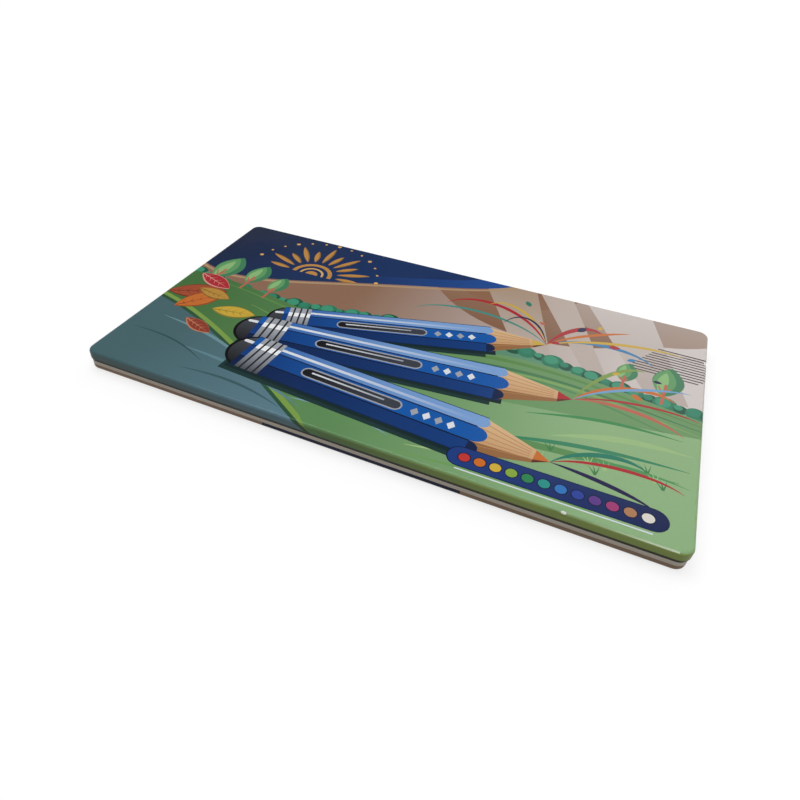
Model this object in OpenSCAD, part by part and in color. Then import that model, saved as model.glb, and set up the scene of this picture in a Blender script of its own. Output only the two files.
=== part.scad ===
// Flat hinged tin for thirty-six coloured pencils, in millimetres.
// A drawn tinplate base with a stepped neck, a drawn lid with a curled edge that turns on
// two pins behind it, and a thermoformed tray that holds one layer of hexagonal pencils.
// The model is sized from the inside out: pencils, tray, base neck, lid.
// Origin: centre of the underside. +X along the row of pencils, +Y towards the hinge, +Z up.

/* [Pencils] */
// Width of a pencil across its flats
pencil_w = 6.9; // [6.4:0.1:7.4]
// Length of a new pencil from tail to tip
pencil_l = 175; // [120:1:185]
// Diameter of the coloured lead
lead_d = 3.3; // [2.2:0.1:3.8]
// Gap of the glue line around the lead
glue_gap = 0.03; // [0.02:0.01:0.06]
// Diameter of the blunted lead tip
tip_d = 0.8; // [0.4:0.1:1.2]
// Length of the sharpened cone
cone_l = 21; // [14:1:26]
// Chamfer around the tail end
tail_chamfer = 0.4; // [0.2:0.1:0.8]
// Depth of the dip in the middle of the tail end, over the lead
tail_dip = 0.25; // [0.1:0.05:0.5]

/* [Tray] */
// Thickness of the thermoformed sheet
tray_t = 0.4; // [0.3:0.05:0.6]
// Gap between a pencil's corners and its groove
groove_gap = 0.15; // [0.1:0.05:0.3]
// Gap left where a seated pencil touches its groove
seat_gap = 0.02; // [0.01:0.01:0.05]
// Plastic between two grooves at the height of the pencil's axis
rib_w = 0.73; // [0.5:0.01:2]
// Height of the ribs below the grooves' axis
rib_drop = 1; // [0.8:0.1:2]
// Gap between each end of a pencil and the end of its groove
end_gap = 1; // [0.5:0.1:4]
// Distance from the end of a groove to the edge of the field of grooves
groove_stop = 0.5; // [0.4:0.1:1.5]
// Air under the grooves, above the base's floor
groove_air = 2.3; // [1.6:0.1:5]
// Border beside the first and the last groove
side_border = 2.3; // [1.5:0.1:12]
// Border at the ends of the grooves
end_border = 2.8; // [1.5:0.1:12]
// Height of the border above the grooves' axis
border_rise = 2; // [0.5:0.1:3]
// Radius of the finger well's trough
well_r = 14; // [9:0.5:30]
// Depth of the finger well below the grooves' bottom
well_drop = 1.6; // [0.8:0.1:1.6]
// Distance of the finger well in front of the middle
well_front = 32; // [0:1:38]
// Corner radius of the field of grooves
field_corner = 1.5; // [0.8:0.1:2.5]
// Gap between the tray and the curl of the base's neck
tray_gap = 0.25; // [0.1:0.05:0.6]

/* [Tinplate] */
// Thickness of the tinplate
sheet_t = 0.3; // [0.22:0.01:0.4]
// Corner radius of the tin seen from above
corner_r = 6; // [5.8:0.1:14]

/* [Base] */
// Inset of the base's wall behind the lid's wall
wall_inset = 0.55; // [0.2:0.05:1]
// Radius between the wall and the floor
bottom_r = 2; // [1:0.1:2.5]
// Gap between the shoulder and the lid's edge
shoulder_gap = 0.4; // [0.2:0.1:1]
// Radius of the curled edge on top of the neck
neck_curl_r = 0.7; // [0.55:0.05:1]
// Height between the neck's curl and the inside of the lid
neck_headroom = 2; // [1:0.1:3]
// Distance of the stiffening bead from the foot of the wall
bead_inset = 5.5; // [4.5:0.1:20]
// Width of the stiffening bead in the floor
bead_w = 3; // [2:0.1:6]
// Height of the stiffening bead in the floor
bead_h = 0.5; // [0.3:0.05:0.7]
// Corner radius of the bead's middle line
bead_corner = 6; // [4:0.5:20]

/* [Lid] */
// Height of the lid's wall
lid_skirt = 6.1; // [5:0.1:7.5]
// Radius of the fold between the lid's top and its wall
fold_r = 1.6; // [1:0.1:2.4]
// Radius of the curled edge of the lid
lid_curl_r = 0.9; // [0.6:0.05:1.1]
// Gap between the lid's curl and the base's neck
lid_gap = 0.25; // [0.2:0.05:0.6]
// Height between the pencils and the inside of the lid
headroom = 2.25; // [1.8:0.05:6]

/* [Hinge] */
// Distance of each hinge from the nearer end of the tin
hinge_from_end = 75; // [30:1:130]
// Diameter of the hinge pin
pin_d = 1.4; // [1:0.1:2]
// Radial gap of the pin in its knuckles
pin_gap = 0.05; // [0.02:0.01:0.1]
// Length of the knuckle on the base
base_knuckle = 12; // [6:0.5:24]
// Length of each of the two knuckles on the lid
lid_knuckle = 9; // [5:0.5:20]
// Gap between neighbouring knuckles
knuckle_gap = 0.3; // [0.2:0.05:0.8]
// Gap around the base's knuckle in the lid's wall
notch_gap = 0.4; // [0.2:0.05:1]

/* [Hidden] */
$fn = 96;
eps = 0.01;
pencil_count = 36;

// Sizes that halves meet at are rounded to 0.02 mm, so that each half is a round number too
function drawn(size) = round(size * 50) / 50;

// Pencils
corner_d = pencil_w / cos(30);
wood_tip_z = pencil_l - cone_l * (lead_d - tip_d) / (corner_d - tip_d);

// Tray, across the grooves
groove_r = corner_d / 2 + groove_gap;
pitch = drawn(2 * groove_r + rib_w);
field_l = pencil_count * pitch;
groove_l = pencil_l + 2 * end_gap;
field_d = groove_l + 2 * groove_stop;
tray_l = field_l + 2 * side_border;
tray_d = field_d + 2 * end_border;

// Tray, upwards
groove_axis_z = drawn(sheet_t + groove_air + tray_t + groove_r);
rib_z = groove_axis_z - rib_drop;
border_z = groove_axis_z + border_rise;
well_axis_z = groove_axis_z - groove_r - well_drop + well_r;

// A pencil lies flat side down, and the two corners of that side touch the groove
seat_r = groove_r - seat_gap;
seat_sink = sqrt(seat_r * seat_r - corner_d * corner_d / 16) - pencil_w / 2;
pencil_z = groove_axis_z - seat_sink;

// Tin, from the tray outwards
neck_inset = 2 * lid_curl_r + lid_gap;
rim_w = neck_inset + 2 * neck_curl_r + tray_gap;
tin_l = tray_l + 2 * rim_w;
tin_d = tray_d + 2 * rim_w;
tin_h = drawn(pencil_z + pencil_w / 2 + headroom + sheet_t);
tray_corner = corner_r - rim_w;
lid_edge_z = tin_h - lid_skirt;
shoulder_z = lid_edge_z - shoulder_gap;
shoulder_r = neck_inset - wall_inset;
neck_top_z = tin_h - sheet_t - neck_headroom;
foot_inset = wall_inset + bottom_r;

// Hinge
knuckle_bore_r = pin_d / 2 + pin_gap;
knuckle_r = knuckle_bore_r + sheet_t;
hinge_y = tin_d / 2 - sheet_t + knuckle_r;
hinge_z = lid_edge_z;
hinge_w = base_knuckle + 2 * lid_knuckle + 2 * knuckle_gap;
hinge_x = tin_l / 2 - hinge_from_end;
tongue_z = hinge_z - knuckle_r;
// The tongue starts in the middle of the shoulder's sheet, at the tongue's own height
tongue_rise = tongue_z + sheet_t / 2 - (shoulder_z - shoulder_r);
tongue_root = wall_inset + shoulder_r - sqrt(pow(shoulder_r - sheet_t / 2, 2) - pow(tongue_rise, 2));

LACQUERS = [
    "white", "ivory", "lemonchiffon", "khaki", "yellow", "gold",
    "orange", "darkorange", "coral", "tomato", "red", "crimson",
    "deeppink", "hotpink", "pink", "orchid", "mediumpurple", "purple",
    "indigo", "navy", "blue", "royalblue", "dodgerblue", "skyblue",
    "turquoise", "teal", "seagreen", "green", "limegreen", "yellowgreen",
    "olive", "peru", "sienna", "saddlebrown", "gray", "black"
];

function pencil_name(i) = str("pencil_", i < 10 ? "0" : "", i);

// ---- Flat shapes and sweeps ----

module rounded_rect(l, d, r) {
    square([l - 2 * r, d], center = true);
    square([l, d - 2 * r], center = true);
    for (sx = [-1, 1], sy = [-1, 1])
        translate([sx * (l / 2 - r), sy * (d / 2 - r)])
            circle(r);
}

// Carries a flat profile around a rounded rectangle. The profile's x is measured outwards
// from the rectangle's outline and its y is the height.
module rim(l, d, r) {
    for (side = [0, 1]) {
        run_x = side == 0 ? l : d;
        run_y = side == 0 ? d : l;
        for (half = [0, 180])
            rotate(90 * side + half)
                translate([run_x / 2, run_y / 2 - r, 0])
                    rotate([90, 0, 0])
                        linear_extrude(run_y - 2 * r)
                            children();
    }
    for (sx = [-1, 1], sy = [-1, 1])
        translate([sx * (l / 2 - r), sy * (d / 2 - r), 0])
            rotate(sx > 0 ? (sy > 0 ? 0 : 270) : (sy > 0 ? 90 : 180))
                rotate_extrude(angle = 90)
                    translate([r, 0])
                        children();
}

// A quarter bend of sheet around the origin, in the quadrant that sx and sy name
module bend(r, sx, sy) {
    intersection() {
        difference() {
            circle(r);
            circle(r - sheet_t);
        }
        translate([sx > 0 ? 0 : -r, sy > 0 ? 0 : -r])
            square(r);
    }
}

// A rolled edge of sheet, seen from its end
module curl(r) {
    difference() {
        circle(r);
        circle(r - sheet_t);
    }
}

// ---- Base ----

module base_profile() {
    translate([-foot_inset, bottom_r])
        bend(bottom_r, 1, -1);
    translate([-wall_inset - sheet_t, bottom_r])
        square([sheet_t, shoulder_z - shoulder_r - bottom_r]);
    translate([-neck_inset, shoulder_z - shoulder_r])
        bend(shoulder_r, 1, 1);
    translate([-neck_inset - sheet_t, shoulder_z - sheet_t])
        square([sheet_t, neck_top_z - neck_curl_r - shoulder_z + sheet_t]);
    translate([-neck_inset - neck_curl_r, neck_top_z - neck_curl_r])
        curl(neck_curl_r);
}

// Outline of the bead: its flanks lean at 45 degrees
module bead_profile(w, h, drop) {
    polygon([[-w / 2 - drop, -drop], [-w / 2 + h, h], [w / 2 - h, h], [w / 2 + drop, -drop]]);
}

module base_floor() {
    floor_l = tin_l - 2 * foot_inset;
    floor_d = tin_d - 2 * foot_inset;
    bead_l = floor_l - 2 * bead_inset;
    bead_d = floor_d - 2 * bead_inset;
    difference() {
        union() {
            linear_extrude(sheet_t)
                rounded_rect(floor_l, floor_d, corner_r - foot_inset);
            translate([0, 0, sheet_t])
                rim(bead_l, bead_d, bead_corner)
                    bead_profile(bead_w, bead_h, 0);
        }
        rim(bead_l, bead_d, bead_corner)
            bead_profile(bead_w - 2 * sheet_t, bead_h, eps);
    }
}

module hinge_places() {
    for (sx = [-1, 1])
        translate([sx * hinge_x, hinge_y, hinge_z])
            children();
}

// Flat shapes of the hinge are drawn looking along X: x is away from the tin, y is up
module along_x(length) {
    rotate([90, 0, 90])
        linear_extrude(length, center = true)
            children();
}

// A knuckle rolled up from a tongue that leaves the base's shoulder
module base_knuckles() {
    tongue_l = hinge_y - (tin_d / 2 - tongue_root);
    hinge_places()
        along_x(base_knuckle)
            difference() {
                union() {
                    circle(knuckle_r);
                    translate([-tongue_l, -knuckle_r])
                        square([tongue_l, sheet_t]);
                }
                circle(knuckle_bore_r);
            }
}

module base() {
    color("tan") {
        base_floor();
        rim(tin_l, tin_d, corner_r)
            base_profile();
        base_knuckles();
    }
}

// ---- Lid ----

module lid_profile() {
    translate([-fold_r, tin_h - fold_r])
        bend(fold_r, 1, 1);
    translate([-sheet_t, lid_edge_z + lid_curl_r])
        square([sheet_t, lid_skirt - lid_curl_r - fold_r]);
    translate([-lid_curl_r, lid_edge_z + lid_curl_r])
        curl(lid_curl_r);
}

// The curl stops at each hinge, where the wall is cut into tabs
module hinge_windows() {
    cut_y = 2 * lid_curl_r + 2 * notch_gap;
    cut_z = 2 * lid_curl_r + notch_gap;
    for (sx = [-1, 1])
        translate([sx * hinge_x, tin_d / 2, lid_edge_z])
            translate([-hinge_w / 2 - notch_gap, -cut_y + notch_gap, -notch_gap])
                cube([hinge_w + 2 * notch_gap, cut_y, cut_z + notch_gap]);
}

// Two tabs of the wall, each rolled outwards around the pin
module lid_knuckles() {
    tab_h = 2 * lid_curl_r + notch_gap + sheet_t;
    hinge_places()
        for (sx = [-1, 1])
            translate([sx * (base_knuckle + lid_knuckle + 2 * knuckle_gap) / 2, 0, 0])
                along_x(lid_knuckle)
                    difference() {
                        union() {
                            circle(knuckle_r);
                            translate([-knuckle_r, 0])
                                square([sheet_t, tab_h]);
                        }
                        circle(knuckle_bore_r);
                    }
}

module lid() {
    color("cadetblue") {
        difference() {
            union() {
                translate([0, 0, tin_h - sheet_t])
                    linear_extrude(sheet_t)
                        rounded_rect(tin_l - 2 * fold_r, tin_d - 2 * fold_r, corner_r - fold_r);
                rim(tin_l, tin_d, corner_r)
                    lid_profile();
            }
            hinge_windows();
        }
        lid_knuckles();
    }
}

// ---- Hinge pins ----

module hinge_pin(side) {
    pin_chamfer = pin_d / 6;
    pin_l = hinge_w - 2 * knuckle_gap;
    color("silver")
        translate([side * hinge_x, hinge_y, hinge_z])
            rotate([0, 90, 0])
                rotate_extrude()
                    polygon([
                        [0, -pin_l / 2],
                        [pin_d / 2 - pin_chamfer, -pin_l / 2],
                        [pin_d / 2, -pin_l / 2 + pin_chamfer],
                        [pin_d / 2, pin_l / 2 - pin_chamfer],
                        [pin_d / 2 - pin_chamfer, pin_l / 2],
                        [0, pin_l / 2]
                    ]);
}

// ---- Tray ----

function pencil_x(i) = (i - (pencil_count + 1) / 2) * pitch;

// The space under the tray's skin, measured k inside the skin's upper face
module tray_form(k) {
    foot_z = k > 0 ? 0 : sheet_t;
    difference() {
        translate([0, 0, foot_z])
            linear_extrude(border_z - k - foot_z)
                rounded_rect(tray_l - 2 * k, tray_d - 2 * k, tray_corner - k);
        translate([0, 0, rib_z - k])
            linear_extrude(tin_h)
                rounded_rect(field_l + 2 * k, field_d + 2 * k, field_corner + k);
        for (i = [1 : pencil_count])
            translate([pencil_x(i), 0, groove_axis_z])
                rotate([90, 0, 0])
                    cylinder(h = groove_l + 2 * k, r = groove_r + k, center = true);
        translate([0, -well_front, well_axis_z])
            rotate([0, 90, 0])
                cylinder(h = field_l - 2 * field_corner + 2 * k, r = well_r + k, center = true);
    }
}

module pencil_tray() {
    color("gainsboro")
        difference() {
            tray_form(0);
            tray_form(tray_t);
        }
}

// ---- Pencils ----

// Lays a pencil drawn upright into groove i, tip towards the hinge
module in_groove(i) {
    translate([pencil_x(i), -pencil_l / 2, pencil_z])
        rotate([-90, 0, 0])
            children();
}

module pencil_casing(i) {
    bore_r = lead_d / 2 + glue_gap;
    color(LACQUERS[i - 1])
        in_groove(i)
            difference() {
                intersection() {
                    cylinder(h = wood_tip_z, d = corner_d, $fn = 6);
                    rotate_extrude()
                        polygon([
                            [0, 0],
                            [corner_d / 2 - tail_chamfer, 0],
                            [corner_d / 2, tail_chamfer],
                            [corner_d / 2, pencil_l - cone_l],
                            [tip_d / 2, pencil_l],
                            [0, pencil_l]
                        ]);
                }
                translate([0, 0, -eps])
                    cylinder(h = pencil_l, r = bore_r);
            }
}

module pencil_lead(i) {
    in_groove(i)
        rotate_extrude()
            polygon([
                [0, tail_dip],
                [lead_d / 2, tail_dip],
                [lead_d / 2, wood_tip_z],
                [tip_d / 2, pencil_l],
                [0, pencil_l]
            ]);
}

module pencil_leads() {
    for (i = [1 : pencil_count])
        color(LACQUERS[i - 1])
            pencil_lead(i);
}

base();
lid();
hinge_pin(-1);  // hinge_pin_left
hinge_pin(1);  // hinge_pin_right
pencil_tray();
pencil_leads();
for (i = [1 : pencil_count])
    pencil_casing(i);
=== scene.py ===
# %% [markdown]
# # A tin of coloured pencils
# The object is a flat box of printed tinplate. Its base and its lid are each one sheet of steel, printed
# flat and then drawn and rolled to shape, and a wire hinge at the back joins them. Inside, a thermoformed
# tray holds a row of thirty-six hexagonal pencils. The lesson loads the construction first and never moves
# it, and then dresses each piece in the order in which the eye meets it: room and light, lid, base, hinge,
# pencils, tray.

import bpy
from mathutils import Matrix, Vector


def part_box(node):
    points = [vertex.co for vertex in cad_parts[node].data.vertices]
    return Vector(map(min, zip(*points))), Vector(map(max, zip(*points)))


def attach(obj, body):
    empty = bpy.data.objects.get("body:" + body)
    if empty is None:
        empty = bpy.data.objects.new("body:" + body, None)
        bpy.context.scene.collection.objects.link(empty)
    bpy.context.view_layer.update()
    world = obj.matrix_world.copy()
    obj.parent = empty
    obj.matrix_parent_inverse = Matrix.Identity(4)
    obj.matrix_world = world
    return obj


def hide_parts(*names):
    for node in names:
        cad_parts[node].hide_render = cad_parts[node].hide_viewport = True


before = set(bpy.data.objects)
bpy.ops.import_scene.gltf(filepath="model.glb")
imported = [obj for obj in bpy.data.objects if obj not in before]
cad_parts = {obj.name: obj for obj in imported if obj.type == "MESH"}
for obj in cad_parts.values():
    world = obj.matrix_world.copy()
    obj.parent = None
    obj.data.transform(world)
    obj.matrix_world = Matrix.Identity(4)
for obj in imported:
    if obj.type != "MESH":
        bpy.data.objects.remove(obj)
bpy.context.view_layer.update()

# %% Helpers and sizes
import math
from functools import partial

import bpy
import numpy as np
from mathutils import Matrix, Vector
from mathutils.geometry import delaunay_2d_cdt

MM = 0.001
scene = bpy.context.scene
lid_low, lid_high = (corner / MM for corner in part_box("lid"))
tin_l = 2 * lid_high.x
tin_d = -2 * lid_low.y
tin_h = lid_high.z
print(f"tin: {tin_l:.1f} x {tin_d:.1f} x {tin_h:.1f} mm")

# %% [markdown]
# ## Sizes of the sheet metal
# These values repeat the ones that the construction was drawn with, in millimetres. The rest is worked out
# from them, so that the dressed sheets lie exactly where the plain ones are.

# %% Sheet metal sizes
sheet_t = 0.3
corner_r = 6.0
fold_r = 1.6
lid_skirt = 6.1
lid_curl_r = 0.9
wall_inset = 0.55
bottom_r = 2.0
shoulder_gap = 0.4
lid_gap = 0.25
neck_curl_r = 0.7
neck_headroom = 2.0
bead_inset = 5.5
bead_corner = 6.0
hinge_from_end = 75.0
pin_r = 0.7
bore_r = 0.75
base_knuckle = 12.0
lid_knuckle = 9.0
knuckle_gap = 0.3
notch_gap = 0.4
knuckle_turn = 305

knuckle_r = bore_r + sheet_t
lid_edge_z = tin_h - lid_skirt
shoulder_z = lid_edge_z - shoulder_gap
neck_inset = 2 * lid_curl_r + lid_gap
shoulder_r = neck_inset - wall_inset
neck_top_z = tin_h - sheet_t - neck_headroom
foot_inset = wall_inset + bottom_r
hinge_x = tin_l / 2 - hinge_from_end
hinge_y = tin_d / 2 - sheet_t + knuckle_r
hinge_z = lid_edge_z
hinge_w = base_knuckle + 2 * lid_knuckle + 2 * knuckle_gap
print(f"hinge axis at y {hinge_y:.2f}, z {hinge_z:.2f}; knuckles {hinge_w:.1f} mm wide")


# %% [markdown]
# ## Node and colour helpers
# A material is a small graph of nodes. One function adds a node, sets its values and joins its inputs, and
# each graph below binds it to itself under the name node. Colours are written as sRGB hex values, as a
# printer's swatch book gives them, and one function turns them to the linear values that Blender computes
# with.

# %% Node and colour helpers
def linear(hex_colour):
    """sRGB hex such as '1f325a' to linear red, green and blue."""
    values = [int(hex_colour[i : i + 2], 16) / 255 for i in (0, 2, 4)]
    return [v / 12.92 if v <= 0.04045 else ((v + 0.055) / 1.055) ** 2.4 for v in values]


def rgba(hex_colour):
    return (*linear(hex_colour), 1.0)


def add_node(tree, kind, inputs=None, **settings):
    """Adds a node. inputs maps an input's name or number to a value, an output, a node or a list of nodes."""
    node = tree.nodes.new(kind)
    for key, value in settings.items():
        setattr(node, key, value)
    for key, value in (inputs or {}).items():
        for source in value if isinstance(value, list) else [value]:
            if isinstance(source, bpy.types.Node):
                source = next(output for output in source.outputs if output.enabled)
            if isinstance(source, bpy.types.NodeSocket):
                tree.links.new(source, node.inputs[key])
            else:
                node.inputs[key].default_value = source
    return node


def empty_graph(block):
    """Clears the graph of a material or a world and returns the function that adds nodes to it."""
    block.use_nodes = True
    block.node_tree.nodes.clear()
    return partial(add_node, block.node_tree)


def new_material(name, finish):
    """finish(node, place) adds nodes and returns the values and nodes for the inputs of the shader."""
    material = bpy.data.materials.new(name)
    node = empty_graph(material)
    place = node("ShaderNodeTexCoord").outputs["Object"]
    shader = node("ShaderNodeBsdfPrincipled", finish(node, place))
    node("ShaderNodeOutputMaterial", {"Surface": shader})
    return material


print("navy in linear light:", [round(v, 3) for v in linear("1f325a")])

# %% [markdown]
# ## Camera
# The camera stands about a third of a metre away, in front of the tin and to the right of its middle, and
# looks down at forty degrees. So near, a wide lens makes the right end large and the left end small. The
# film plane is shifted a little sideways, which moves the tin in the frame without turning the camera.

# %% Camera
CAMERA_AT = Vector((0.09892, -0.30652, 0.23498))
CAMERA_LOOKS_AT = Vector((-0.00869, -0.05853, 0.0065))
CAMERA_ROLL = math.radians(-2.05)
CAMERA_LENS = 28.48
CAMERA_SHIFT = 0.0548

camera = bpy.data.objects.new("camera", bpy.data.cameras.new("camera"))
scene.collection.objects.link(camera)
scene.camera = camera
camera.data.lens = CAMERA_LENS
camera.data.sensor_width = 36
camera.data.shift_x = CAMERA_SHIFT
forward = (CAMERA_LOOKS_AT - CAMERA_AT).normalized()
level_right = forward.cross(Vector((0, 0, 1))).normalized()
level_up = level_right.cross(forward)
up = math.cos(CAMERA_ROLL) * level_up + math.sin(CAMERA_ROLL) * level_right
right = forward.cross(up)
turn = Matrix((right, up, -forward)).transposed().to_4x4()
camera.matrix_world = Matrix.Translation(CAMERA_AT) @ turn
print("camera distance:", round((CAMERA_LOOKS_AT - CAMERA_AT).length, 3), "m")

# %% [markdown]
# ## Floor and light
# The tin stands on white paper in a white studio. To the camera the paper and the walls are white. The
# light that they throw on the object is dimmer, and so is what a glossy surface mirrors of them, because a
# white room mirrored in the varnish would lie over the print like mist. The paper keeps a soft shadow: part
# of what the camera sees of it is lit paper and not glow, and further out it turns into pure white. Three
# lamps light the tin: a large soft one above it, a small one in front that draws the bright line along the
# fold, and a wide one far behind that lays a faint sheen over the back half of the lid.

# %% Floor
FLOOR_HALF = 6.0
PAPER_GLOW, PAPER_SHEEN, PAPER_WHITE = 0.66, 0.4, 1.06
GLOW_FROM, GLOW_TO = 0.3, 1.3

floor_mesh = bpy.data.meshes.new("studio_floor")
corners = [(x * FLOOR_HALF, y * FLOOR_HALF, 0) for x, y in ((-1, -1), (1, -1), (1, 1), (-1, 1))]
floor_mesh.from_pydata(corners, [], [(0, 1, 2, 3)])
floor = bpy.data.objects.new("studio_floor", floor_mesh)
scene.collection.objects.link(floor)

floor_paper = bpy.data.materials.new("studio_paper")
node = empty_graph(floor_paper)
ray = node("ShaderNodeLightPath").outputs
direct = ray["Is Glossy Ray"]
for other, operation in (
    (PAPER_SHEEN, "MULTIPLY"), (ray["Is Camera Ray"], "MAXIMUM"), (ray["Is Transmission Ray"], "MAXIMUM"),
):
    direct = node("ShaderNodeMath", {0: direct, 1: other}, operation=operation)
paper = node("ShaderNodeMix", {0: direct, 6: rgba("75654f"), 7: rgba("ffffff")}, data_type="RGBA")
lit = node("ShaderNodeBsdfDiffuse", {"Color": paper})
glow = node("ShaderNodeEmission", {"Color": rgba("ffffff"), "Strength": PAPER_WHITE})
place = node("ShaderNodeTexCoord").outputs["Object"]
away = node("ShaderNodeVectorMath", {0: place}, operation="LENGTH")
span = {"Value": away, "From Min": GLOW_FROM, "From Max": GLOW_TO, "To Min": PAPER_GLOW}
whiter = node("ShaderNodeMapRange", span)
share = node("ShaderNodeMath", {0: direct, 1: whiter}, operation="MULTIPLY")
both = node("ShaderNodeMixShader", {0: share, 1: lit, 2: glow})
node("ShaderNodeOutputMaterial", {"Surface": both})
floor_mesh.materials.append(floor_paper)
print("floor:", 2 * FLOOR_HALF, "m wide")

# %% World and lamps
WALL_LIGHT, CEILING_SHEEN = 0.45, 0.1
CEILING_LOW, CEILING_HIGH = 0.1, 0.4

world = bpy.data.worlds.new("studio")
scene.world = world
node = empty_graph(world)
ray = node("ShaderNodeLightPath").outputs
way = node("ShaderNodeTexCoord").outputs["Generated"]
height = node("ShaderNodeSeparateXYZ", {"Vector": way}).outputs["Z"]
span = {"Value": height, "From Min": CEILING_LOW, "From Max": CEILING_HIGH, "To Min": 1.0, "To Max": 0.0}
wall = node("ShaderNodeMapRange", span, interpolation_type="SMOOTHSTEP")
white = ray["Is Glossy Ray"]
for other, operation in (
    (ray["Is Transmission Ray"], "MAXIMUM"), (wall, "MULTIPLY"), (ray["Is Camera Ray"], "MAXIMUM"),
):
    white = node("ShaderNodeMath", {0: white, 1: other}, operation=operation)
span = {"Value": ray["Is Diffuse Ray"], "To Min": CEILING_SHEEN, "To Max": WALL_LIGHT}
dim = node("ShaderNodeMapRange", span)
strength = node("ShaderNodeMapRange", {"Value": white, "To Min": dim})
studio_air = node("ShaderNodeBackground", {"Color": rgba("ffffff"), "Strength": strength})
node("ShaderNodeOutputWorld", {"Surface": studio_air})

for name, at, aim, size, watts in (
    ("soft_box", (-0.4, 0.2, 1.5), (0, 0, 0), 1.1, 9.5),
    ("fold_lamp", (0.34, -0.40, 0.95), (0.15, -0.09, 0), 0.16, 1.8),
    ("haze_lamp", (0.45, 1.35, 0.75), (0.15, 0.05, 0), 1.0, 2.8),
):
    lamp = bpy.data.objects.new(name, bpy.data.lights.new(name, "AREA"))
    scene.collection.objects.link(lamp)
    lamp.data.energy = watts
    lamp.data.size = size
    turn = (Vector(aim) - Vector(at)).to_track_quat("-Z", "Y").to_matrix().to_4x4()
    lamp.matrix_world = Matrix.Translation(at) @ turn
scene.view_settings.view_transform = "Standard"
print("light of the walls:", WALL_LIGHT)

# %% [markdown]
# ## How a sheet is folded
# Tinplate is printed flat and formed afterwards. The script works the same way: the print is drawn on a
# flat blank, and one function says where each point of the blank ends up. In the middle the sheet stays
# flat. Outside an inner rounded rectangle only the distance from it counts, and that distance runs along a
# section: fold, wall, rolled edge. A section is written as a turtle walks it, as straight steps and turns,
# and the turtle also knows the normal.

# %% The section and the fold
class Section:
    """A path across a sheet's edge. Moves: ("line", length) or ("turn", radius, degrees), left positive."""

    def __init__(self, out, z, heading, side, moves):
        self.side, self.moves, self.stops = side, [], [0.0]
        point, angle = np.array([out, z]), math.radians(heading)
        for move in moves:
            span = move[1] if move[0] == "line" else move[1] * abs(math.radians(move[2]))
            self.moves.append((self.stops[-1], span, point, angle, move))
            self.stops.append(self.stops[-1] + span)
            point, angle = self.step(point, angle, move, span)
        self.length = self.stops[-1]

    def step(self, point, angle, move, s):
        """Point and heading after walking s along one move. s may be an array."""
        if move[0] == "line":
            return point + np.multiply.outer(s, [math.cos(angle), math.sin(angle)]), angle + 0 * s
        radius, left = move[1], 1 if move[2] > 0 else -1
        centre = point + left * radius * np.array([-math.sin(angle), math.cos(angle)])
        now = angle + left * s / radius
        arm = np.stack([np.sin(now), -np.cos(now)], -1)
        return centre + left * radius * arm, now

    def at(self, s):
        """Outset, height and the normal's two parts at distances s."""
        s = np.asarray(s, float)
        place, normal = np.zeros((*s.shape, 2)), np.zeros((*s.shape, 2))
        for start, span, point, angle, move in self.moves:
            here = s >= start - 1e-9
            spot, heading = self.step(point, angle, move, np.clip(s - start, 0, span))
            heading = heading + self.side * math.pi / 2
            place[here] = spot[here]
            normal[here] = np.stack([np.cos(heading), np.sin(heading)], -1)[here]
        return place, normal

    def marks(self, turn_step=12.0):
        """Distances for lines of vertices: each joint and, in a turn, every few degrees."""
        found = [0.0]
        for start, span, _, _, move in self.moves:
            count = 1 if move[0] == "line" else max(2, round(abs(move[2]) / turn_step))
            found += [start + span * k / count for k in range(1, count + 1)]
        return found


def arc_points(x, y, radius, start, end, count=None):
    count = count or max(3, round(abs(end - start) * max(1.0, radius**0.5) / 45))
    angles = np.radians(np.linspace(start, end, count + 1))
    return [(x + radius * math.cos(a), y + radius * math.sin(a)) for a in angles]


def rounded_loop(core, radius, spacing=12.0):
    """A rounded rectangle around a core, its straight sides divided."""
    points, divided = [], []
    for start, x, y in ((0, 1, 1), (90, -1, 1), (180, -1, -1), (270, 1, -1)):
        points += arc_points(x * core[0], y * core[1], radius, start, start + 90, 6)
    for (x0, y0), (x1, y1) in zip(points, points[1:] + points[:1]):
        side = math.hypot(x1 - x0, y1 - y0)
        count = round(side / spacing) if side > 2 * spacing else 1
        divided += [(x0 + (x1 - x0) * k / count, y0 + (y1 - y0) * k / count) for k in range(count)]
    return divided


class Fold:
    """Maps the flat blank to the formed sheet: flat inside, a section around the edge."""

    def __init__(self, length, depth, corner, inset, flat_z, flat_side, section):
        self.core = np.array([length, depth]) / 2 - corner
        self.corner, self.inner_r = corner, corner - inset
        self.flat_z, self.flat_side, self.section = flat_z, flat_side, section

    def distance(self, uv):
        nearest = np.clip(uv, -self.core, self.core)
        return np.linalg.norm(uv - nearest, axis=-1) - self.inner_r

    def place(self, uv):
        """Points and normals in millimetres for points of the blank."""
        nearest = np.clip(uv, -self.core, self.core)
        beyond = self.distance(uv)
        way = (uv - nearest) / np.maximum(beyond + self.inner_r, 1e-9)[..., None]
        spot, normal = self.section.at(np.maximum(beyond, 0))
        flat = beyond <= 1e-9
        xy = nearest + way * (self.corner + spot[..., :1])
        xy[flat] = uv[flat]
        points = np.concatenate([xy, spot[..., 1:]], -1)
        points[flat, 2] = self.flat_z
        normals = np.concatenate([way * normal[..., :1], normal[..., 1:]], -1)
        normals[flat] = (0, 0, self.flat_side)
        return points, normals

    def loop(self, distance):
        """A closed line on the blank at one distance from the inner rectangle."""
        return rounded_loop(self.core, self.inner_r + distance)


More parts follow.
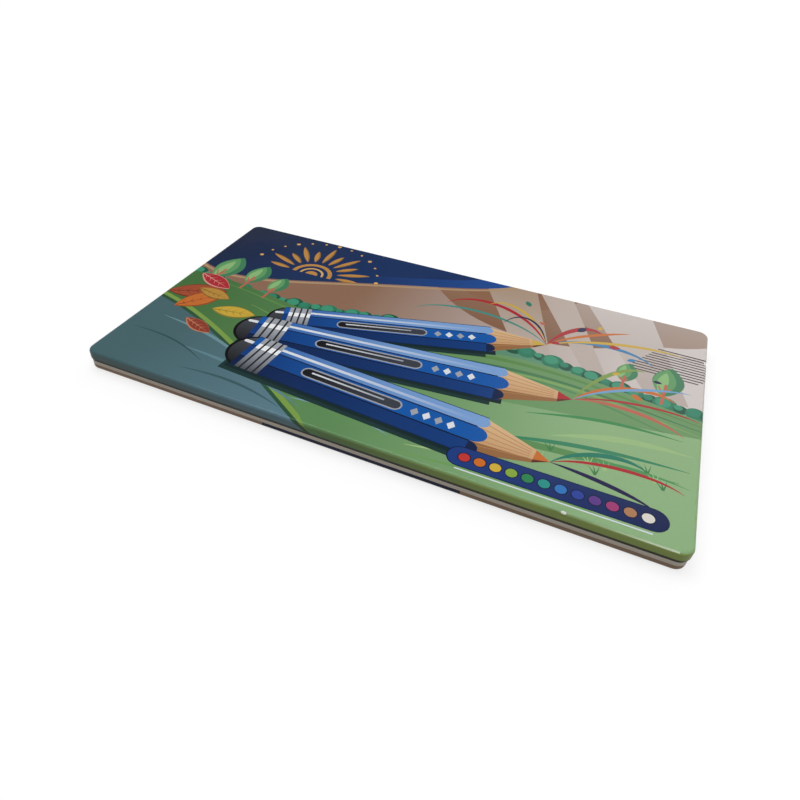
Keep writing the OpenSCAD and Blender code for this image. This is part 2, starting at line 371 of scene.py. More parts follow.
def pressed(place, uv, depth, step=0.02):
    """Moves the sheet inwards by depth(uv), and leans its normals to match."""
    points, normals = place(uv)
    lean = np.zeros_like(points)
    for way in np.eye(2) * step:
        along = (place(uv + way)[0] - place(uv - way)[0]) / (2 * step)
        square = np.maximum((along**2).sum(1), 0.04)[:, None]
        lean += along / square * ((depth(uv + way) - depth(uv - way)) / (2 * step))[:, None]
    points = points - normals * depth(uv)[:, None]
    leaned = normals + lean
    return points, leaned / np.linalg.norm(leaned, axis=1)[:, None]


lid_section = Section(-fold_r, tin_h, 0, 1, [
    ("turn", fold_r, -90),
    ("line", lid_skirt - lid_curl_r - fold_r),
    ("turn", lid_curl_r, -300),
])
lid_fold = Fold(tin_l, tin_d, corner_r, fold_r, tin_h, 1, lid_section)
print("lid's edge runs", round(lid_section.length, 2), "mm beyond the flat top")

# %% [markdown]
# ## Drawing on the blank
# A tin is decorated by offset printing: flat inks with hard edges, laid over each other on a white coat. So
# the artwork here is made of flat shapes too, not of pixels. Each shape is an outline with one colour or a
# straight fade between two. All outlines go into one constrained Delaunay triangulation together with the
# lines where the sheet bends, and each triangle takes the colour of the topmost shape over it. The edges
# stay sharp at any distance, and the picture follows the sheet round the fold because it is part of the
# sheet.

# %% Shapes on the blank
def disc(x, y, radius):
    return arc_points(x, y, radius, 0, 360)[:-1]


def box_points(x0, y0, x1, y1):
    return [(x0, y0), (x1, y0), (x1, y1), (x0, y1)]


def pill(x0, y0, x1, y1):
    r = (y1 - y0) / 2
    return arc_points(x1 - r, y0 + r, r, -90, 90) + arc_points(x0 + r, y0 + r, r, 90, 270)


def leaf(x, y, length, width):
    """A pointed oval that begins at (x, y)."""
    t = np.linspace(0, 1, 15)
    half = width / 2 * np.sin(math.pi * t) ** 0.8
    upper = [(x + length * u, y + w) for u, w in zip(t, half)]
    return upper + [(x + length * u, y - w) for u, w in zip(t[-2:0:-1], half[-2:0:-1])]


def curve(*controls, count=24):
    """Points on a Bezier curve through the control polygon."""
    points = np.array(controls, float)
    t = np.linspace(0, 1, count + 1)[:, None]
    n = len(points) - 1
    return sum(math.comb(n, k) * (1 - t) ** (n - k) * t**k * points[k] for k in range(n + 1))


def ribbon(line, width, taper="both"):
    """A brush stroke along a line, thin where it tapers."""
    line = np.array(line, float)
    along = np.gradient(line, axis=0)
    along /= np.linalg.norm(along, axis=1)[:, None]
    side = np.stack([-along[:, 1], along[:, 0]], 1)
    t = np.linspace(0, 1, len(line))
    swell = {"both": np.sin(math.pi * t), "start": t, "end": 1 - t, "none": np.ones_like(t)}[taper]
    half_width = (0.04 + 0.46 * swell)[:, None] * width
    return np.concatenate([line + side * half_width, (line - side * half_width)[::-1]])


def turned(points, x, y, angle):
    cos, sin = math.cos(math.radians(angle)), math.sin(math.radians(angle))
    return [(x + px * cos - py * sin, y + px * sin + py * cos) for px, py in points]


def is_inside(points, outline):
    """Even-odd test for an array of points."""
    x, y = points[:, 0:1], points[:, 1:2]
    x0, y0 = np.array(outline, float).T
    x1, y1 = np.roll(x0, -1), np.roll(y0, -1)
    level = np.where(y1 == y0, 1e-12, y1 - y0)
    cuts = ((y0 > y) != (y1 > y)) & (x < (x1 - x0) * (y - y0) / level + x0)
    return cuts.sum(1) % 2 == 1


class Drawing:
    """Inks on a blank, in the order in which they are laid down."""

    def __init__(self):
        self.shapes = []

    def fill(self, outline, ink, fade=None, at=(0, 0, 0)):
        """fade is (second ink, where the first is pure, where the second is). at is (x, y, angle)."""
        if fade:
            fade = (fade[0], *turned(fade[1:], *at))
        self.shapes.append((turned(outline, *at), ink, fade))

    def colours(self, centres, corners):
        """Colours for triangles with these centres, at their corners (n x 3 x 2)."""
        found = np.ones((len(centres), 3, 4))
        for outline, ink, fade in self.shapes:
            spots = np.array(outline)
            index = np.flatnonzero(((centres >= spots.min(0)) & (centres <= spots.max(0))).all(1))
            index = index[is_inside(centres[index], outline)]
            colour = linear(ink)
            if fade:
                start, way = np.array(fade[1]), np.subtract(fade[2], fade[1])
                t = np.clip(((corners[index] - start) @ way) / (way @ way), 0, 1)[..., None]
                colour = (1 - t) * colour + t * linear(fade[0])
            found[index, :, :3] = colour
        return found


print("a leaf has", len(leaf(0, 0, 10, 4)), "points")

# %% [markdown]
# ## From the blank to a closed shell
# The triangulation gives the outer face. The inner face is the same triangles, one sheet thickness further
# in along the normal, and a narrow strip along every cut edge closes the shell. The normals come from the
# section, so the tight folds shade as true bends although they are only a few strips wide.

# %% Triangulate and fold
def areas(places, faces):
    """Twice the area of each triangle: a signed number on the blank, a vector in space."""
    a, b, c = (places[faces[:, k]] for k in range(3))
    return np.cross(b - a, c - a)


def triangulate(outline, lines, loose=()):
    """Constrained Delaunay triangles inside the outline, with closed or open lines as edges."""
    points, edges = [], []
    for line, closed in [(outline, True), *lines]:
        first = len(points)
        points += [Vector(p) for p in line]
        edges += [(first + k, first + k + 1) for k in range(len(line) - 1)]
        if closed:
            edges.append((len(points) - 1, first))
    points += [Vector(p) for p in loose]
    corners, _, faces, *_ = delaunay_2d_cdt(points, edges, [], 0, 1e-3, False)
    uv = np.array(corners)
    faces = np.array([f for f in faces if len(f) == 3])
    return uv, faces[is_inside(uv[faces].mean(1), outline) & (np.abs(areas(uv, faces)) > 1e-7)]


def shell(name, uv, faces, points, normals, drawing, unprinted=None):
    """A closed sheet with an inked outer face. unprinted is an outline on the blank that stays bare."""
    used, faces = np.unique(faces, return_inverse=True)
    faces = faces.reshape(-1, 3)
    uv, points, normals = uv[used], points[used], normals[used]
    clockwise = areas(uv, faces) < 0
    faces[clockwise] = faces[clockwise][:, ::-1]
    if (areas(points, faces) * normals[faces].mean(1)).sum() < 0:
        faces = faces[:, ::-1]
    n = len(uv)
    edges = np.concatenate([faces[:, [0, 1]], faces[:, [1, 2]], faces[:, [2, 0]]])
    keys = edges[:, 0] * n + edges[:, 1]
    border = edges[~np.isin(edges[:, 1] * n + edges[:, 0], keys)]
    inner = points - sheet_t * normals
    quads = np.stack([border[:, 1], border[:, 0], border[:, 0] + n, border[:, 1] + n], 1)
    mesh = bpy.data.meshes.new(name)
    polygons = faces.tolist() + (faces[:, ::-1] + n).tolist() + quads.tolist()
    mesh.from_pydata((np.concatenate([points, inner]) * MM).tolist(), [], polygons)
    mesh.materials.append(litho)
    mesh.materials.append(bare_tin)
    centres = uv[faces].mean(1)
    bare = np.zeros(len(faces), bool) if unprinted is None else is_inside(centres, unprinted)
    which = np.concatenate([bare, np.ones(len(faces) + len(quads))]).astype(np.int32)
    mesh.polygons.foreach_set("material_index", which)
    mesh.polygons.foreach_set("use_smooth", np.ones(len(polygons), bool))
    corners = np.concatenate([normals[faces].reshape(-1, 3), -normals[faces[:, ::-1]].reshape(-1, 3)])
    along = points[border[:, 1]] - points[border[:, 0]]
    edge_normal = np.cross(along, normals[border].mean(1))
    edge_normal /= np.maximum(np.linalg.norm(edge_normal, axis=1), 1e-12)[:, None]
    corners = np.concatenate([corners, np.repeat(edge_normal, 4, 0)])
    ink = np.ones((len(corners), 4))
    ink[: 3 * len(faces)] = drawing.colours(centres, uv[faces]).reshape(-1, 4)
    attribute = mesh.color_attributes.new("ink", "FLOAT_COLOR", "CORNER")
    attribute.data.foreach_set("color", ink.ravel())
    mesh.normals_split_custom_set(corners.tolist())
    print(f"{name}: {len(polygons)} faces, {len(border)} of them on cut edges")
    return mesh


def shown(name, mesh, body, slot, *nodes):
    """Links a finished mesh as a piece that rides on a body and may stand for CAD nodes."""
    piece = bpy.data.objects.new(name, mesh)
    scene.collection.objects.link(piece)
    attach(piece, body)
    if nodes:
        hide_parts(*nodes)

# %% [markdown]
# ## Finishes of the tinplate
# Decorated tinplate has ink and a stoved varnish outside. The varnish is clear, hard and fairly glossy, and
# it follows the faint waves that rolling and drawing leave in thin steel, which is what makes a reflection
# on a tin lid wander. Inside there is only the bright tin, dulled by a thin lacquer. Both are built as
# small node graphs: the ink colour comes from the attribute of the blank, and noise on object coordinates
# gives waves, fine grain and scuffs.

# %% Printed and bare tinplate
def litho_finish(node, place):
    """Offset ink under stoved varnish: colour from the print, soft gloss, long waves and fine orange peel."""
    ink = node("ShaderNodeAttribute", attribute_name="ink")
    fleck, blotch, wave, peel = (
        node("ShaderNodeTexNoise", {"Vector": place, "Scale": scale, "Detail": detail})
        for scale, detail in ((900.0, 2.0), (18.0, 3.0), (14.0, 0.0), (600.0, 1.0))
    )
    spread = {"From Min": 0.3, "From Max": 0.7}
    density, gloss = (
        node("ShaderNodeMapRange", {"Value": noise, "To Min": low, "To Max": high, **spread})
        for noise, low, high in ((fleck, 0.985, 1.015), (blotch, 0.18, 0.27))
    )
    tone = node("ShaderNodeVectorMath", {0: ink, "Scale": density}, operation="SCALE")
    bump = node("ShaderNodeBump", {"Height": wave, "Strength": 0.3, "Distance": 0.0012})
    fine = {"Height": peel, "Strength": 0.04, "Distance": 0.0002, "Normal": bump}
    bump = node("ShaderNodeBump", fine)
    return {"Base Color": tone, "Roughness": gloss, "Normal": bump, "IOR": 1.5, "Specular IOR Level": 0.3}


def bare_finish(node, place):
    """Electrolytic tin on steel: bright, slightly brushed by the rolling, dulled by a thin lacquer."""
    squeeze = node("ShaderNodeMapping", {"Vector": place, "Scale": (30.0, 1500.0, 1500.0)})
    grain = node("ShaderNodeTexNoise", {"Vector": squeeze, "Scale": 1.0, "Detail": 2.0})
    cloud = node("ShaderNodeTexNoise", {"Vector": place, "Scale": 25.0, "Detail": 3.0})
    tone = node("ShaderNodeMix", {0: cloud, 6: rgba("c4c5c3"), 7: rgba("dad9d4")}, data_type="RGBA")
    rough = node("ShaderNodeMapRange", {"Value": grain, "To Min": 0.28, "To Max": 0.48})
    bump = node("ShaderNodeBump", {"Height": grain, "Strength": 0.1, "Distance": 0.0001})
    return {"Base Color": tone, "Roughness": rough, "Normal": bump, "Metallic": 0.85}


litho = new_material("offset_printed_varnished_tinplate", litho_finish)
bare_tin = new_material("bare_tinplate", bare_finish)
print("finishes:", litho.name, bare_tin.name)

# %% [markdown]
# ## The picture on the lid
# The lid carries a picture in the manner of such tins: a dark blue corner with gold, warm haze, green
# hills, water and a large bright blue subject in the middle. The subject is what the tin holds, three thick
# pencils, and coloured strokes spring from their points. A row of round swatches in the corner stands where
# such a tin says what is in it.

# %% Palette
TAN, SAND, MIST, BEAM = "8d6a54", "b0906f", "d2c9c5", "ab937e"
NAVY, NIGHT, ROYAL, GOLD = "0f2f60", "17233f", "164a94", "bd8843"
HILL, MEADOW, LIME, BUSH, SHADE = "2f6a49", "6c9662", "8eb280", "2b7a5d", "1f5540"
TEAL, WATER = "48676c", "5c7f8e"
BLUE, DEEP, BRIGHT, PALE = "0d3c7e", "0a2048", "0b56a6", "7aa0d2"
RED, ORANGE, YELLOW, CORAL, INK = "ab242e", "c66c2a", "c9a63a", "bb6450", "1e1848"
CEDAR, CEDAR_DARK, SILVER, GLINT, COAL = "c79a6c", "96683f", "9ea2aa", "dde1e6", "141519"
SWATCHES = "c03430 cb6a24 d1ae38 85a83e 2c8450 279088 2c74bc 2b429a 5d3a88 a03a74 ad7c58 dcd8d0".split()

BLEED = 12
right_end, back = tin_l / 2 + BLEED, tin_d / 2 + BLEED
left, front = -right_end, -back
picture = Drawing()
fill = picture.fill
print("swatches:", len(SWATCHES))

# %% Sky
fill(box_points(left, front, right_end, back), TAN, (MIST, (-50, 10), (150, 0)))
for x, y, radius, ink, fade in (
    (66, 128, 92, "835c45", "a08268"),
    (122, 142, 80, "a38b7c", "b5a69d"),
    (40, 118, 52, "8f664c", "86644e"),
):
    fill(disc(x, y, radius), ink, (fade, (x, y - radius), (x, y)))
for x, width, ink in ((44, 20, BEAM), (84, 12, "bbaba0"), (116, 22, "c9bfba")):
    beam = [(x - 30, back), (x - 30 + 2 * width, back), (x + 22 + width, 10), (x + 22, 10)]
    fill(beam, ink, ("b9aca4", (x, 90), (x, 20)))
sea_of_night = curve((left, 34), (-120, -14), (-70, 78), (24, 58), (52, back), count=40)
fill([(left, back), *sea_of_night], NIGHT, (NAVY, (-168, 90), (-70, 40)))
shine = [(x, y) for x, y in sea_of_night if x > -60]
fill(shine + [(x - 16, y + 5) for x, y in shine[::-1]], NAVY, (ROYAL, (-60, 60), (36, 70)))
fill(ribbon([(x, y - 2.6) for x, y in sea_of_night], 2.2, "none"), SAND)
for k in range(11):
    fill(box_points(0, 0, 40 + k, 1), "33262e", at=(124 + 1.6 * k, 34 + 2.7 * k, 0))

# %% Gold sun
SUN = (-92, 45)
BRASS = "d8aa62"
for k in range(11):
    ray_at = (*SUN, 6 + 16.8 * k)
    fill(leaf(18, 0, 17 + 7 * (k % 2), 4.2), "8d6532", at=ray_at)
    fill(leaf(18.4, 0.5, 16 + 7 * (k % 2), 3.2), GOLD, at=ray_at)
fill(arc_points(*SUN, 15, 0, 180) + arc_points(*SUN, 12, 180, 0), GOLD)
fill(arc_points(*SUN, 9, 0, 180) + arc_points(*SUN, 7.4, 180, 0), BRASS)
fill(arc_points(*SUN, 4.6, 0, 180), GOLD)
for k in range(13):
    a = math.radians(12 + 13 * k)
    fill(disc(SUN[0] + 47 * math.cos(a), SUN[1] + 47 * math.sin(a), 1.0 + 0.5 * (k % 3 == 0)), BRASS)

# %% Hills, bushes and trees
hill_line = [(x, 17 + 9 * math.sin((x + 30) / 44)) for x in range(-180, 181, 6)]
fill([(left, front), *hill_line, (right_end, front)], HILL, ("6fa387", (-60, 0), (150, 0)))
for k in range(44):
    x = -172 + 8 * k
    y = 14 + 9 * math.sin((x + 30) / 44)
    size = 5.2 + 1.6 * math.sin(2.4 * k)
    fill(disc(x, y, size), SHADE if k % 2 else BUSH)
    fill(disc(x - 1.2, y + 1.4, size * 0.62), "3d9474" if k % 3 else "2f8468")
near_line = [(x, 6 + 7 * math.sin((x - 20) / 37)) for x in range(-180, 181, 6)]
fill([(left, front), *near_line, (right_end, front)], "43703a", (MEADOW, (-150, 0), (60, 0)))
for k, ink in enumerate(("5c8a4c", "4a7c50", "7fa65f", "578a58")):
    line = [(x, y - 5 - 6 * k - 2 * k * math.sin(x / 50 + k)) for x, y in near_line if x > -150 + 20 * k]
    fill(ribbon(line, 3.4 - 0.4 * k), ink)
for x, y, size in ((-150, 4, 34), (-126, 8, 27), (-106, 4, 22), (146, 8, 30), (124, 12, 20)):
    fill(leaf(6, 0, size, size * 0.58), "3f7f58", at=(x, y, 84))
    fill(leaf(7, 1, size * 0.9, size * 0.42), "5f9a62", at=(x - 1, y, 84))
    fill(leaf(9, 1.4, size * 0.7, size * 0.2), "8ab878", at=(x - 2, y, 82))
    fill(box_points(-2, -0.8, size * 0.6, 0.8), CORAL, at=(x, y, 86))
    for angle in (54, 116):
        fill(box_points(0, -0.45, size * 0.22, 0.45), CORAL, at=(x, y + size * 0.3, angle))

# %% Water and meadow
shore = curve((left, -22), (-120, -30), (-60, -76), (-6, front), count=30)
fill([*shore, (left, front)], TEAL, (WATER, (-130, -50), (-20, -90)))
fill(ribbon(shore, 3.4, "none"), "2c5338")
fill(ribbon([(x, y + 2.6) for x, y in shore], 3.2, "none"), "7a9c48")
field = curve((-60, -58), (20, -34), (110, -26), (right_end, -12), count=30)
fill([*field, (right_end, front), (-10, front)], "5d8a55", (LIME, (-10, -60), (120, -50)))
for x, y, length, width, angle, ink in (
    (10, -72, 150, 5, 7, "5a8c52"), (60, -62, 105, 3.2, 10, "37845f"), (30, -86, 90, 3, 3, "a2c082"),
    (96, -46, 70, 4.5, 12, "9abb80"), (-150, -44, 80, 2.4, -16, "6b8f98"), (-120, -66, 90, 3, -12, "5f848e"),
    (-40, -80, 60, 2.4, -4, "7a9eac"), (-160, -62, 60, 1.6, -12, "35545a"), (80, -34, 80, 2.6, 9, "3f8a50"),
    (20, -94, 120, 2.4, 1, "6d9c5c"), (-110, -84, 70, 2, -5, "3c5c62"), (104, -60, 60, 2, 4, "4b9258"),
):
    line = turned([(length * u, 5 * math.sin(3 * u)) for u in np.linspace(0, 1, 20)], x, y, angle)
    fill(ribbon(line, width), ink)
blade = ribbon([(7 * u, 1.2 * u * u) for u in np.linspace(0, 1, 6)], 1.1, "end")
for k in range(16):
    for angle in (70, 96, 120):
        place = (36 + 9 * k - 5 * (k % 3), -70 + 5 * math.sin(1.7 * k) + k, angle)
        fill(blade, ("3d7d46", "9cc07c")[k % 2], at=place)
print("shapes so far:", len(picture.shapes))

# %% Leaves
for x, y, length, angle, ink, vein in (
    (-167, -18, 40, 24, "a34a2c", "6f2f20"), (-152, -32, 36, 52, ORANGE, "8f4a22"),
    (-150, -6, 26, -8, "b98a3a", "8a6428"), (-128, -24, 30, 10, YELLOW, "8f7a2c"),
    (-160, 12, 30, -20, RED, "dc9088"), (-136, -40, 24, -20, "8c3a2a", "c07a58"),
):
    at = (x, y, angle)
    fill(leaf(0, 0, length, length * 0.44), vein, at=at)
    fill(leaf(0.6, 0.4, length * 0.96, length * 0.38), ink, at=at)
    fill(ribbon([(length * u, 0) for u in np.linspace(0.05, 0.92, 8)], 1.0, "end"), vein, at=at)
    for k in range(1, 5):
        for side in (1, -1):
            twig = [(length * (0.16 * k + 0.1 * u), side * length * 0.12 * u) for u in (0, 0.5, 1)]
            fill(ribbon(twig, 0.6, "end"), vein, at=at)


# %% Three thick pencils
def drawn_pencil(x, y, angle, length, width, lead):
    """A pencil along its own axis from the tail: cap, three facets, scalloped wood, coloured point."""
    w, body, neck = width / 2, 0.80 * length, length - 8
    tip_w, half_way = 0.16 * w, (0.5 * length, 0)

    def put(points, ink, fade=None):
        fill(points, ink, fade, (x, y, angle))

    def bar(x0, y0, x1, y1, ink, fade=None, shape=box_points):
        put(shape(x0, y0 * w, x1, y1 * w), ink, fade)

    def collar(x0, x1, ink, fade=None):
        put(box_points(x0, -w - 0.5, x1, w + 0.5), ink, fade)

    put([(px - 4, py - 6) for px, py in box_points(0, -w, body, w)], "1d3836")
    put([(px - 2, py - 3) for px, py in box_points(0, -w, body + 4, w)], "122a2c")
    put(pill(-0.06 * length, -w - 0.6, 0.2 * length, w + 0.6), "0a0b0d")
    bar(-0.05 * length, -1, 0.2 * length, 1, COAL, ("4a4e55", (0, -w), (0, w)), pill)
    bar(-0.035 * length, 0.45, 0.1 * length, 0.62, GLINT, None, pill)
    collar(0, body, DEEP)
    bar(0, -1, body, 1, DEEP, (BLUE, (0, 0), (body, 0)))
    bar(0, -0.36, body, 1, BLUE, (BRIGHT, (0.1 * body, -0.36 * w), (0.5 * body, 0.42 * w)))
    bar(0, 0.42, body, 1, BRIGHT, (PALE, (0, 0), (0.7 * body, 0)))
    bar(0.09 * length, 0.62, body - 6, 0.76, GLINT, ("6f9ad0", (0.2 * length, 0), (body, 0)))
    bar(0, 0.39, body, 0.45, DEEP)
    bar(0, -0.40, body, -0.34, "06152f")
    bar(0.215 * length, -0.27, 0.56 * length, 0.30, SILVER, None, pill)
    bar(0.22 * length, -0.20, 0.555 * length, 0.23, COAL, ("3b3f48", (0.22 * length, 0), half_way), pill)
    bar(0.25 * length, 0.02, 0.5 * length, 0.10, GLINT, (SILVER, (0.25 * length, 0), half_way))
    for k in range(4):
        spot = 0.60 * length + 7 * k
        rhomb = [(spot - 2.4, 0.02 * w), (spot, -0.2 * w), (spot + 2.4, 0.02 * w), (spot, 0.24 * w)]
        put(rhomb, GLINT if k % 2 else SILVER)
    collar(0.02 * length, 0.105 * length, SILVER, ("4c5058", (0, 0.2 * w), (0, -w)))
    bar(0.02 * length, 0.3, 0.105 * length, 0.62, "eef0f2")
    for k in range(3):
        collar((0.035 + 0.025 * k) * length, (0.042 + 0.025 * k) * length, "25282e")
    put([(body - 3, -w), (neck, -tip_w * 2), (neck, tip_w * 2), (body - 3, w)], CEDAR,
        ("dcb88c", (body, -0.4 * w), (body, w)))
    put([(body - 3, -w), (neck, -tip_w * 2), (neck, -tip_w), (body - 3, -0.36 * w)], CEDAR_DARK)
    for k in range(5):
        streak = [(body - 1, (0.7 - 0.3 * k) * w), (length - 10, (0.24 - 0.1 * k) * w)]
        put(ribbon(streak, 0.5, "none"), "b08054")
    for low, high, ink in ((-w, -0.36 * w, DEEP), (-0.36 * w, 0.42 * w, BRIGHT), (0.42 * w, w, PALE)):
        reach, centre = (high - low) * 0.62, (low + high) / 2
        put([(body - 3.5 + reach * math.cos(a), centre + (high - low) / 2 * math.sin(a))
             for a in np.linspace(-math.pi / 2, math.pi / 2, 12)], ink)
    put([(neck, -tip_w * 2), (length, 0), (neck, tip_w * 2)], lead)
    put([(neck, -tip_w * 2), (length, 0), (neck, -tip_w)], "5c2a1c")
    return turned([(length, 0)], x, y, angle)[0]


tips = [
    drawn_pencil(-82, -14, 17, 166, 27, YELLOW),
    drawn_pencil(-92, -32, 6, 194, 30, RED),
    drawn_pencil(-84, -53, -4, 184, 31, ORANGE),
]

# %% Strokes that spring from the points
for tip, reach_x, reach_y, lift, width, ink in (
    (0, -70, 20, 22, 3.2, RED), (0, -44, 30, 14, 2.4, YELLOW), (0, 30, 26, 10, 4.0, RED),
    (0, 62, 6, 14, 3.4, "3f7fae"), (0, -88, 4, 20, 2.4, "3f8a80"), (0, 46, 36, -4, 2.6, ORANGE),
    (0, 78, 24, 4, 2.8, YELLOW), (0, -30, 12, 20, 1.8, INK), (1, 52, 22, 10, 3.6, ORANGE),
    (1, 34, 44, 4, 3.0, "7f9a4e"), (1, 60, 34, 0, 2.2, "6fa0cc"), (1, 58, -6, 12, 3.0, CORAL),
    (1, 66, 10, 6, 2.0, RED), (2, 44, 14, 8, 3.4, "257a62"), (2, 50, -10, 6, 2.8, INK),
    (2, 62, 6, 8, 2.4, RED),
):
    x, y = tips[tip]
    line = curve((x, y), (x + 0.25 * reach_x, y + lift + 0.6 * reach_y),
                 (x + 0.8 * reach_x, y + lift + reach_y), (x + reach_x, y + reach_y))
    fill(ribbon(line, width), ink)
for x, y, size, angle, ink in (
    (92, 58, 8, 60, INK), (112, 50, 7, 10, RED), (58, 74, 7, 120, "257a62"), (130, 8, 7, -30, ORANGE),
    (84, 40, 6, 200, RED), (104, 66, 5, 80, YELLOW), (124, 40, 6, 30, "3f7fae"), (72, 56, 5, 150, CORAL),
    (140, 26, 5, 0, INK), (118, 22, 5, 40, YELLOW),
):
    fill(leaf(0, 0, size, size * 0.55), ink, at=(x, y, angle))

# %% Row of swatches
fill(pill(51.4, -88.6, 156.6, -74.4), "0c1d46")
fill(pill(52, -88, 156, -75), "1c3b80", ("101f50", (52, -80), (156, -80)))
fill(ribbon([(58, -90.2), (150, -90.2)], 0.8, "none"), "d8dde6")
for k, ink in enumerate(SWATCHES):
    fill(disc(60.5 + 7.9 * k, -81.5, 3.4), "0a1430")
    fill(disc(60.5 + 7.9 * k, -81.5, 2.9), ink)

# %% [markdown]
# ## Painted shade and highlight at the lid's edge
# The front wall below the meadow is painted a deeper olive green, which is painted shade, because the
# wall faces away from the light. Painted shade also lies where the edge is rolled under: a dark band where
# the curl begins and a near black one on the curl itself. A light line along the fold near the front right
# corner is a painted highlight. Two dents carry a white chip each, where the white coat shows; the chips
# also stand in for the bright glint of those dents, so they are partly a painted highlight. All this is
# drawn last, over everything else.

# %% Painted shade, highlight and chips
def ring(fold, start, end):
    """A closed band around the blank, between two distances from the inner rectangle."""
    outer, inner = fold.loop(end), fold.loop(start)
    return outer + outer[:1] + inner[:1] + inner[:0:-1] + inner[:1]


curl_start = lid_section.stops[2]
curl_shade_start, curl_shade_end = curl_start - 0.3, curl_start + 0.35
corner_x, corner_y = lid_fold.core
upper, lower = (
    [(1.6 * d - 20, -corner_y - lid_fold.inner_r - d)]
    + arc_points(corner_x, -corner_y, lid_fold.inner_r + d, -90, 0, 6)
    + [(corner_x + lid_fold.inner_r + d, -13)]
    for d in (1.3, curl_shade_start)
)
# Painted shade: the front wall and the front right corner go a darker olive than the meadow above, because
# the wall faces away from the light.
fill(upper + lower[::-1], "5f8050", ("8ea55a", (-10, 0), (90, 0)))
# Painted shade: a dark band where the lid's edge begins to roll under.
fill(ring(lid_fold, curl_shade_start, curl_shade_end), "40565a", ("454e33", (10, 0), (40, 0)))
# Painted shade: the rolled edge itself in near black, as it lies in shadow.
fill(ring(lid_fold, curl_shade_end, lid_section.length + 3), "232b26")
fold_y = -(tin_d / 2 - fold_r)
# Painted highlight: two light lines along the front fold, growing brighter towards the right corner.
for x0, x1, s, width, ink in ((96, 161.5, 1.3, 1.1, "a9c79a"), (118, 161.8, 1.45, 0.6, "dce9d0")):
    line = [(x0 + (x1 - x0) * u, fold_y - s) for u in np.linspace(0, 1, 14)]
    fill(ribbon(line, width, "start"), LIME, (ink, (x0, 0), (150, 0)))
# White chips in two of the dents, where the white coat shows; they also stand in for the bright glint of
# those dents, so they are partly a painted highlight.
for outline in (
    [(110.6, -94.6), (111.6, -94.0), (113.0, -94.5), (113.2, -95.6), (112.0, -96.2), (110.9, -95.8)],
    [(166.6, 58.0), (167.6, 57.4), (168.9, 58.6), (168.7, 60.8), (167.2, 61.4), (166.5, 59.8)],
):
    fill(outline, "f6f6f2")
print("shapes in the picture:", len(picture.shapes))

# %% [markdown]
# ## The lid
# The lid is one sheet. At each hinge its rolled edge stops and two tabs of the wall go on, rolled outwards
# round the wire. The blank therefore has a window at each hinge with two tongues in it. Because the tabs
# roll the other way, the bare inside of the sheet shows on the outside of the knuckles.

# %% Lid
DENTS = ((111.5, -95.6, 3.2, 0.55), (167.6, 59.3, 3.0, 0.5), (-40.0, -95.8, 5.0, 0.2))
DENT_GRID = [0.6 * k for k in range(-9, 10)]

window_w = hinge_w + 2 * notch_gap
window_z = lid_edge_z + 2 * lid_curl_r + notch_gap
window_d = fold_r * math.pi / 2 + (tin_h - fold_r - window_z)
window_y = corner_y + lid_fold.inner_r + window_d
tab_middle = (base_knuckle + lid_knuckle) / 2 + knuckle_gap
tab_section = Section(0, window_z, -90, 1, [("line", window_z - hinge_z), ("turn", bore_r, knuckle_turn)])


def lid_outline():
    """The blank's edge, with a window and two tabs at each hinge."""
    radius = lid_fold.inner_r + lid_section.length
    end_y, tab_y = corner_y + radius, window_y + tab_section.length
    points = arc_points(corner_x, -corner_y, radius, -90, 0, 8)
    points += arc_points(corner_x, corner_y, radius, 0, 90, 8)
    for middle in (hinge_x, -hinge_x):
        points += [(middle + window_w / 2, y) for y in (end_y, window_y)]
        for x in (middle + tab_middle, middle - tab_middle):
            low, high = x - lid_knuckle / 2, x + lid_knuckle / 2
            points += [(high, window_y), (high, tab_y), (low, tab_y), (low, window_y)]
        points += [(middle - window_w / 2, y) for y in (window_y, end_y)]
    points += arc_points(-corner_x, corner_y, radius, 90, 180, 8)
    return points + arc_points(-corner_x, -corner_y, radius, 180, 270, 8)


def bend_lines(x, width, start, section, step):
    """Lines across a strip of the blank, where it bends."""
    low, high = x - width / 2, x + width / 2
    return [([(low, start + d), (high, start + d)], False) for d in section.marks(step)[1:-1]]


def bent(x, section, s):
    """Points and normals of a strip that leaves the tin's back along a section."""
    spot, normal = section.at(s)
    return np.column_stack([x, tin_d / 2 + spot[:, 0], spot[:, 1]]), np.column_stack([0 * x, normal])


def place_lid(uv):
    """Points and normals of the lid's outer face, before its dents."""
    points, normals = lid_fold.place(uv)
    beyond = lid_fold.distance(uv)
    off_tab = np.abs(np.abs(np.abs(uv[:, 0]) - hinge_x) - tab_middle)
    tab = (uv[:, 1] > corner_y) & (off_tab < lid_knuckle / 2 + 0.01) & (beyond > window_d - 1e-6)
    points[tab], normals[tab] = bent(uv[tab, 0], tab_section, beyond[tab] - window_d)
    return points, normals


def dent_depth(uv):
    return sum(deep * np.exp(-2.5 * (np.linalg.norm(uv - (x, y), axis=1) / radius) ** 2)
               for x, y, radius, deep in DENTS)


lid_lines = [(lid_fold.loop(d), True) for d in lid_section.marks()[:-1]]
for x in (hinge_x + tab_middle, hinge_x - tab_middle, -hinge_x + tab_middle, -hinge_x - tab_middle):
    lid_lines += bend_lines(x, lid_knuckle, window_y, tab_section, 20)
lid_lines += [(outline, True) for outline, _, _ in picture.shapes]
dent_points = [(x + i, y + j) for x, y, *_ in DENTS for i in DENT_GRID for j in DENT_GRID]
uv, faces = triangulate(lid_outline(), lid_lines, dent_points)
mesh = shell("printed_lid", uv, faces, *pressed(place_lid, uv, dent_depth), picture)
shown("printed_lid", mesh, "tin_lid", "lid_litho", "lid")

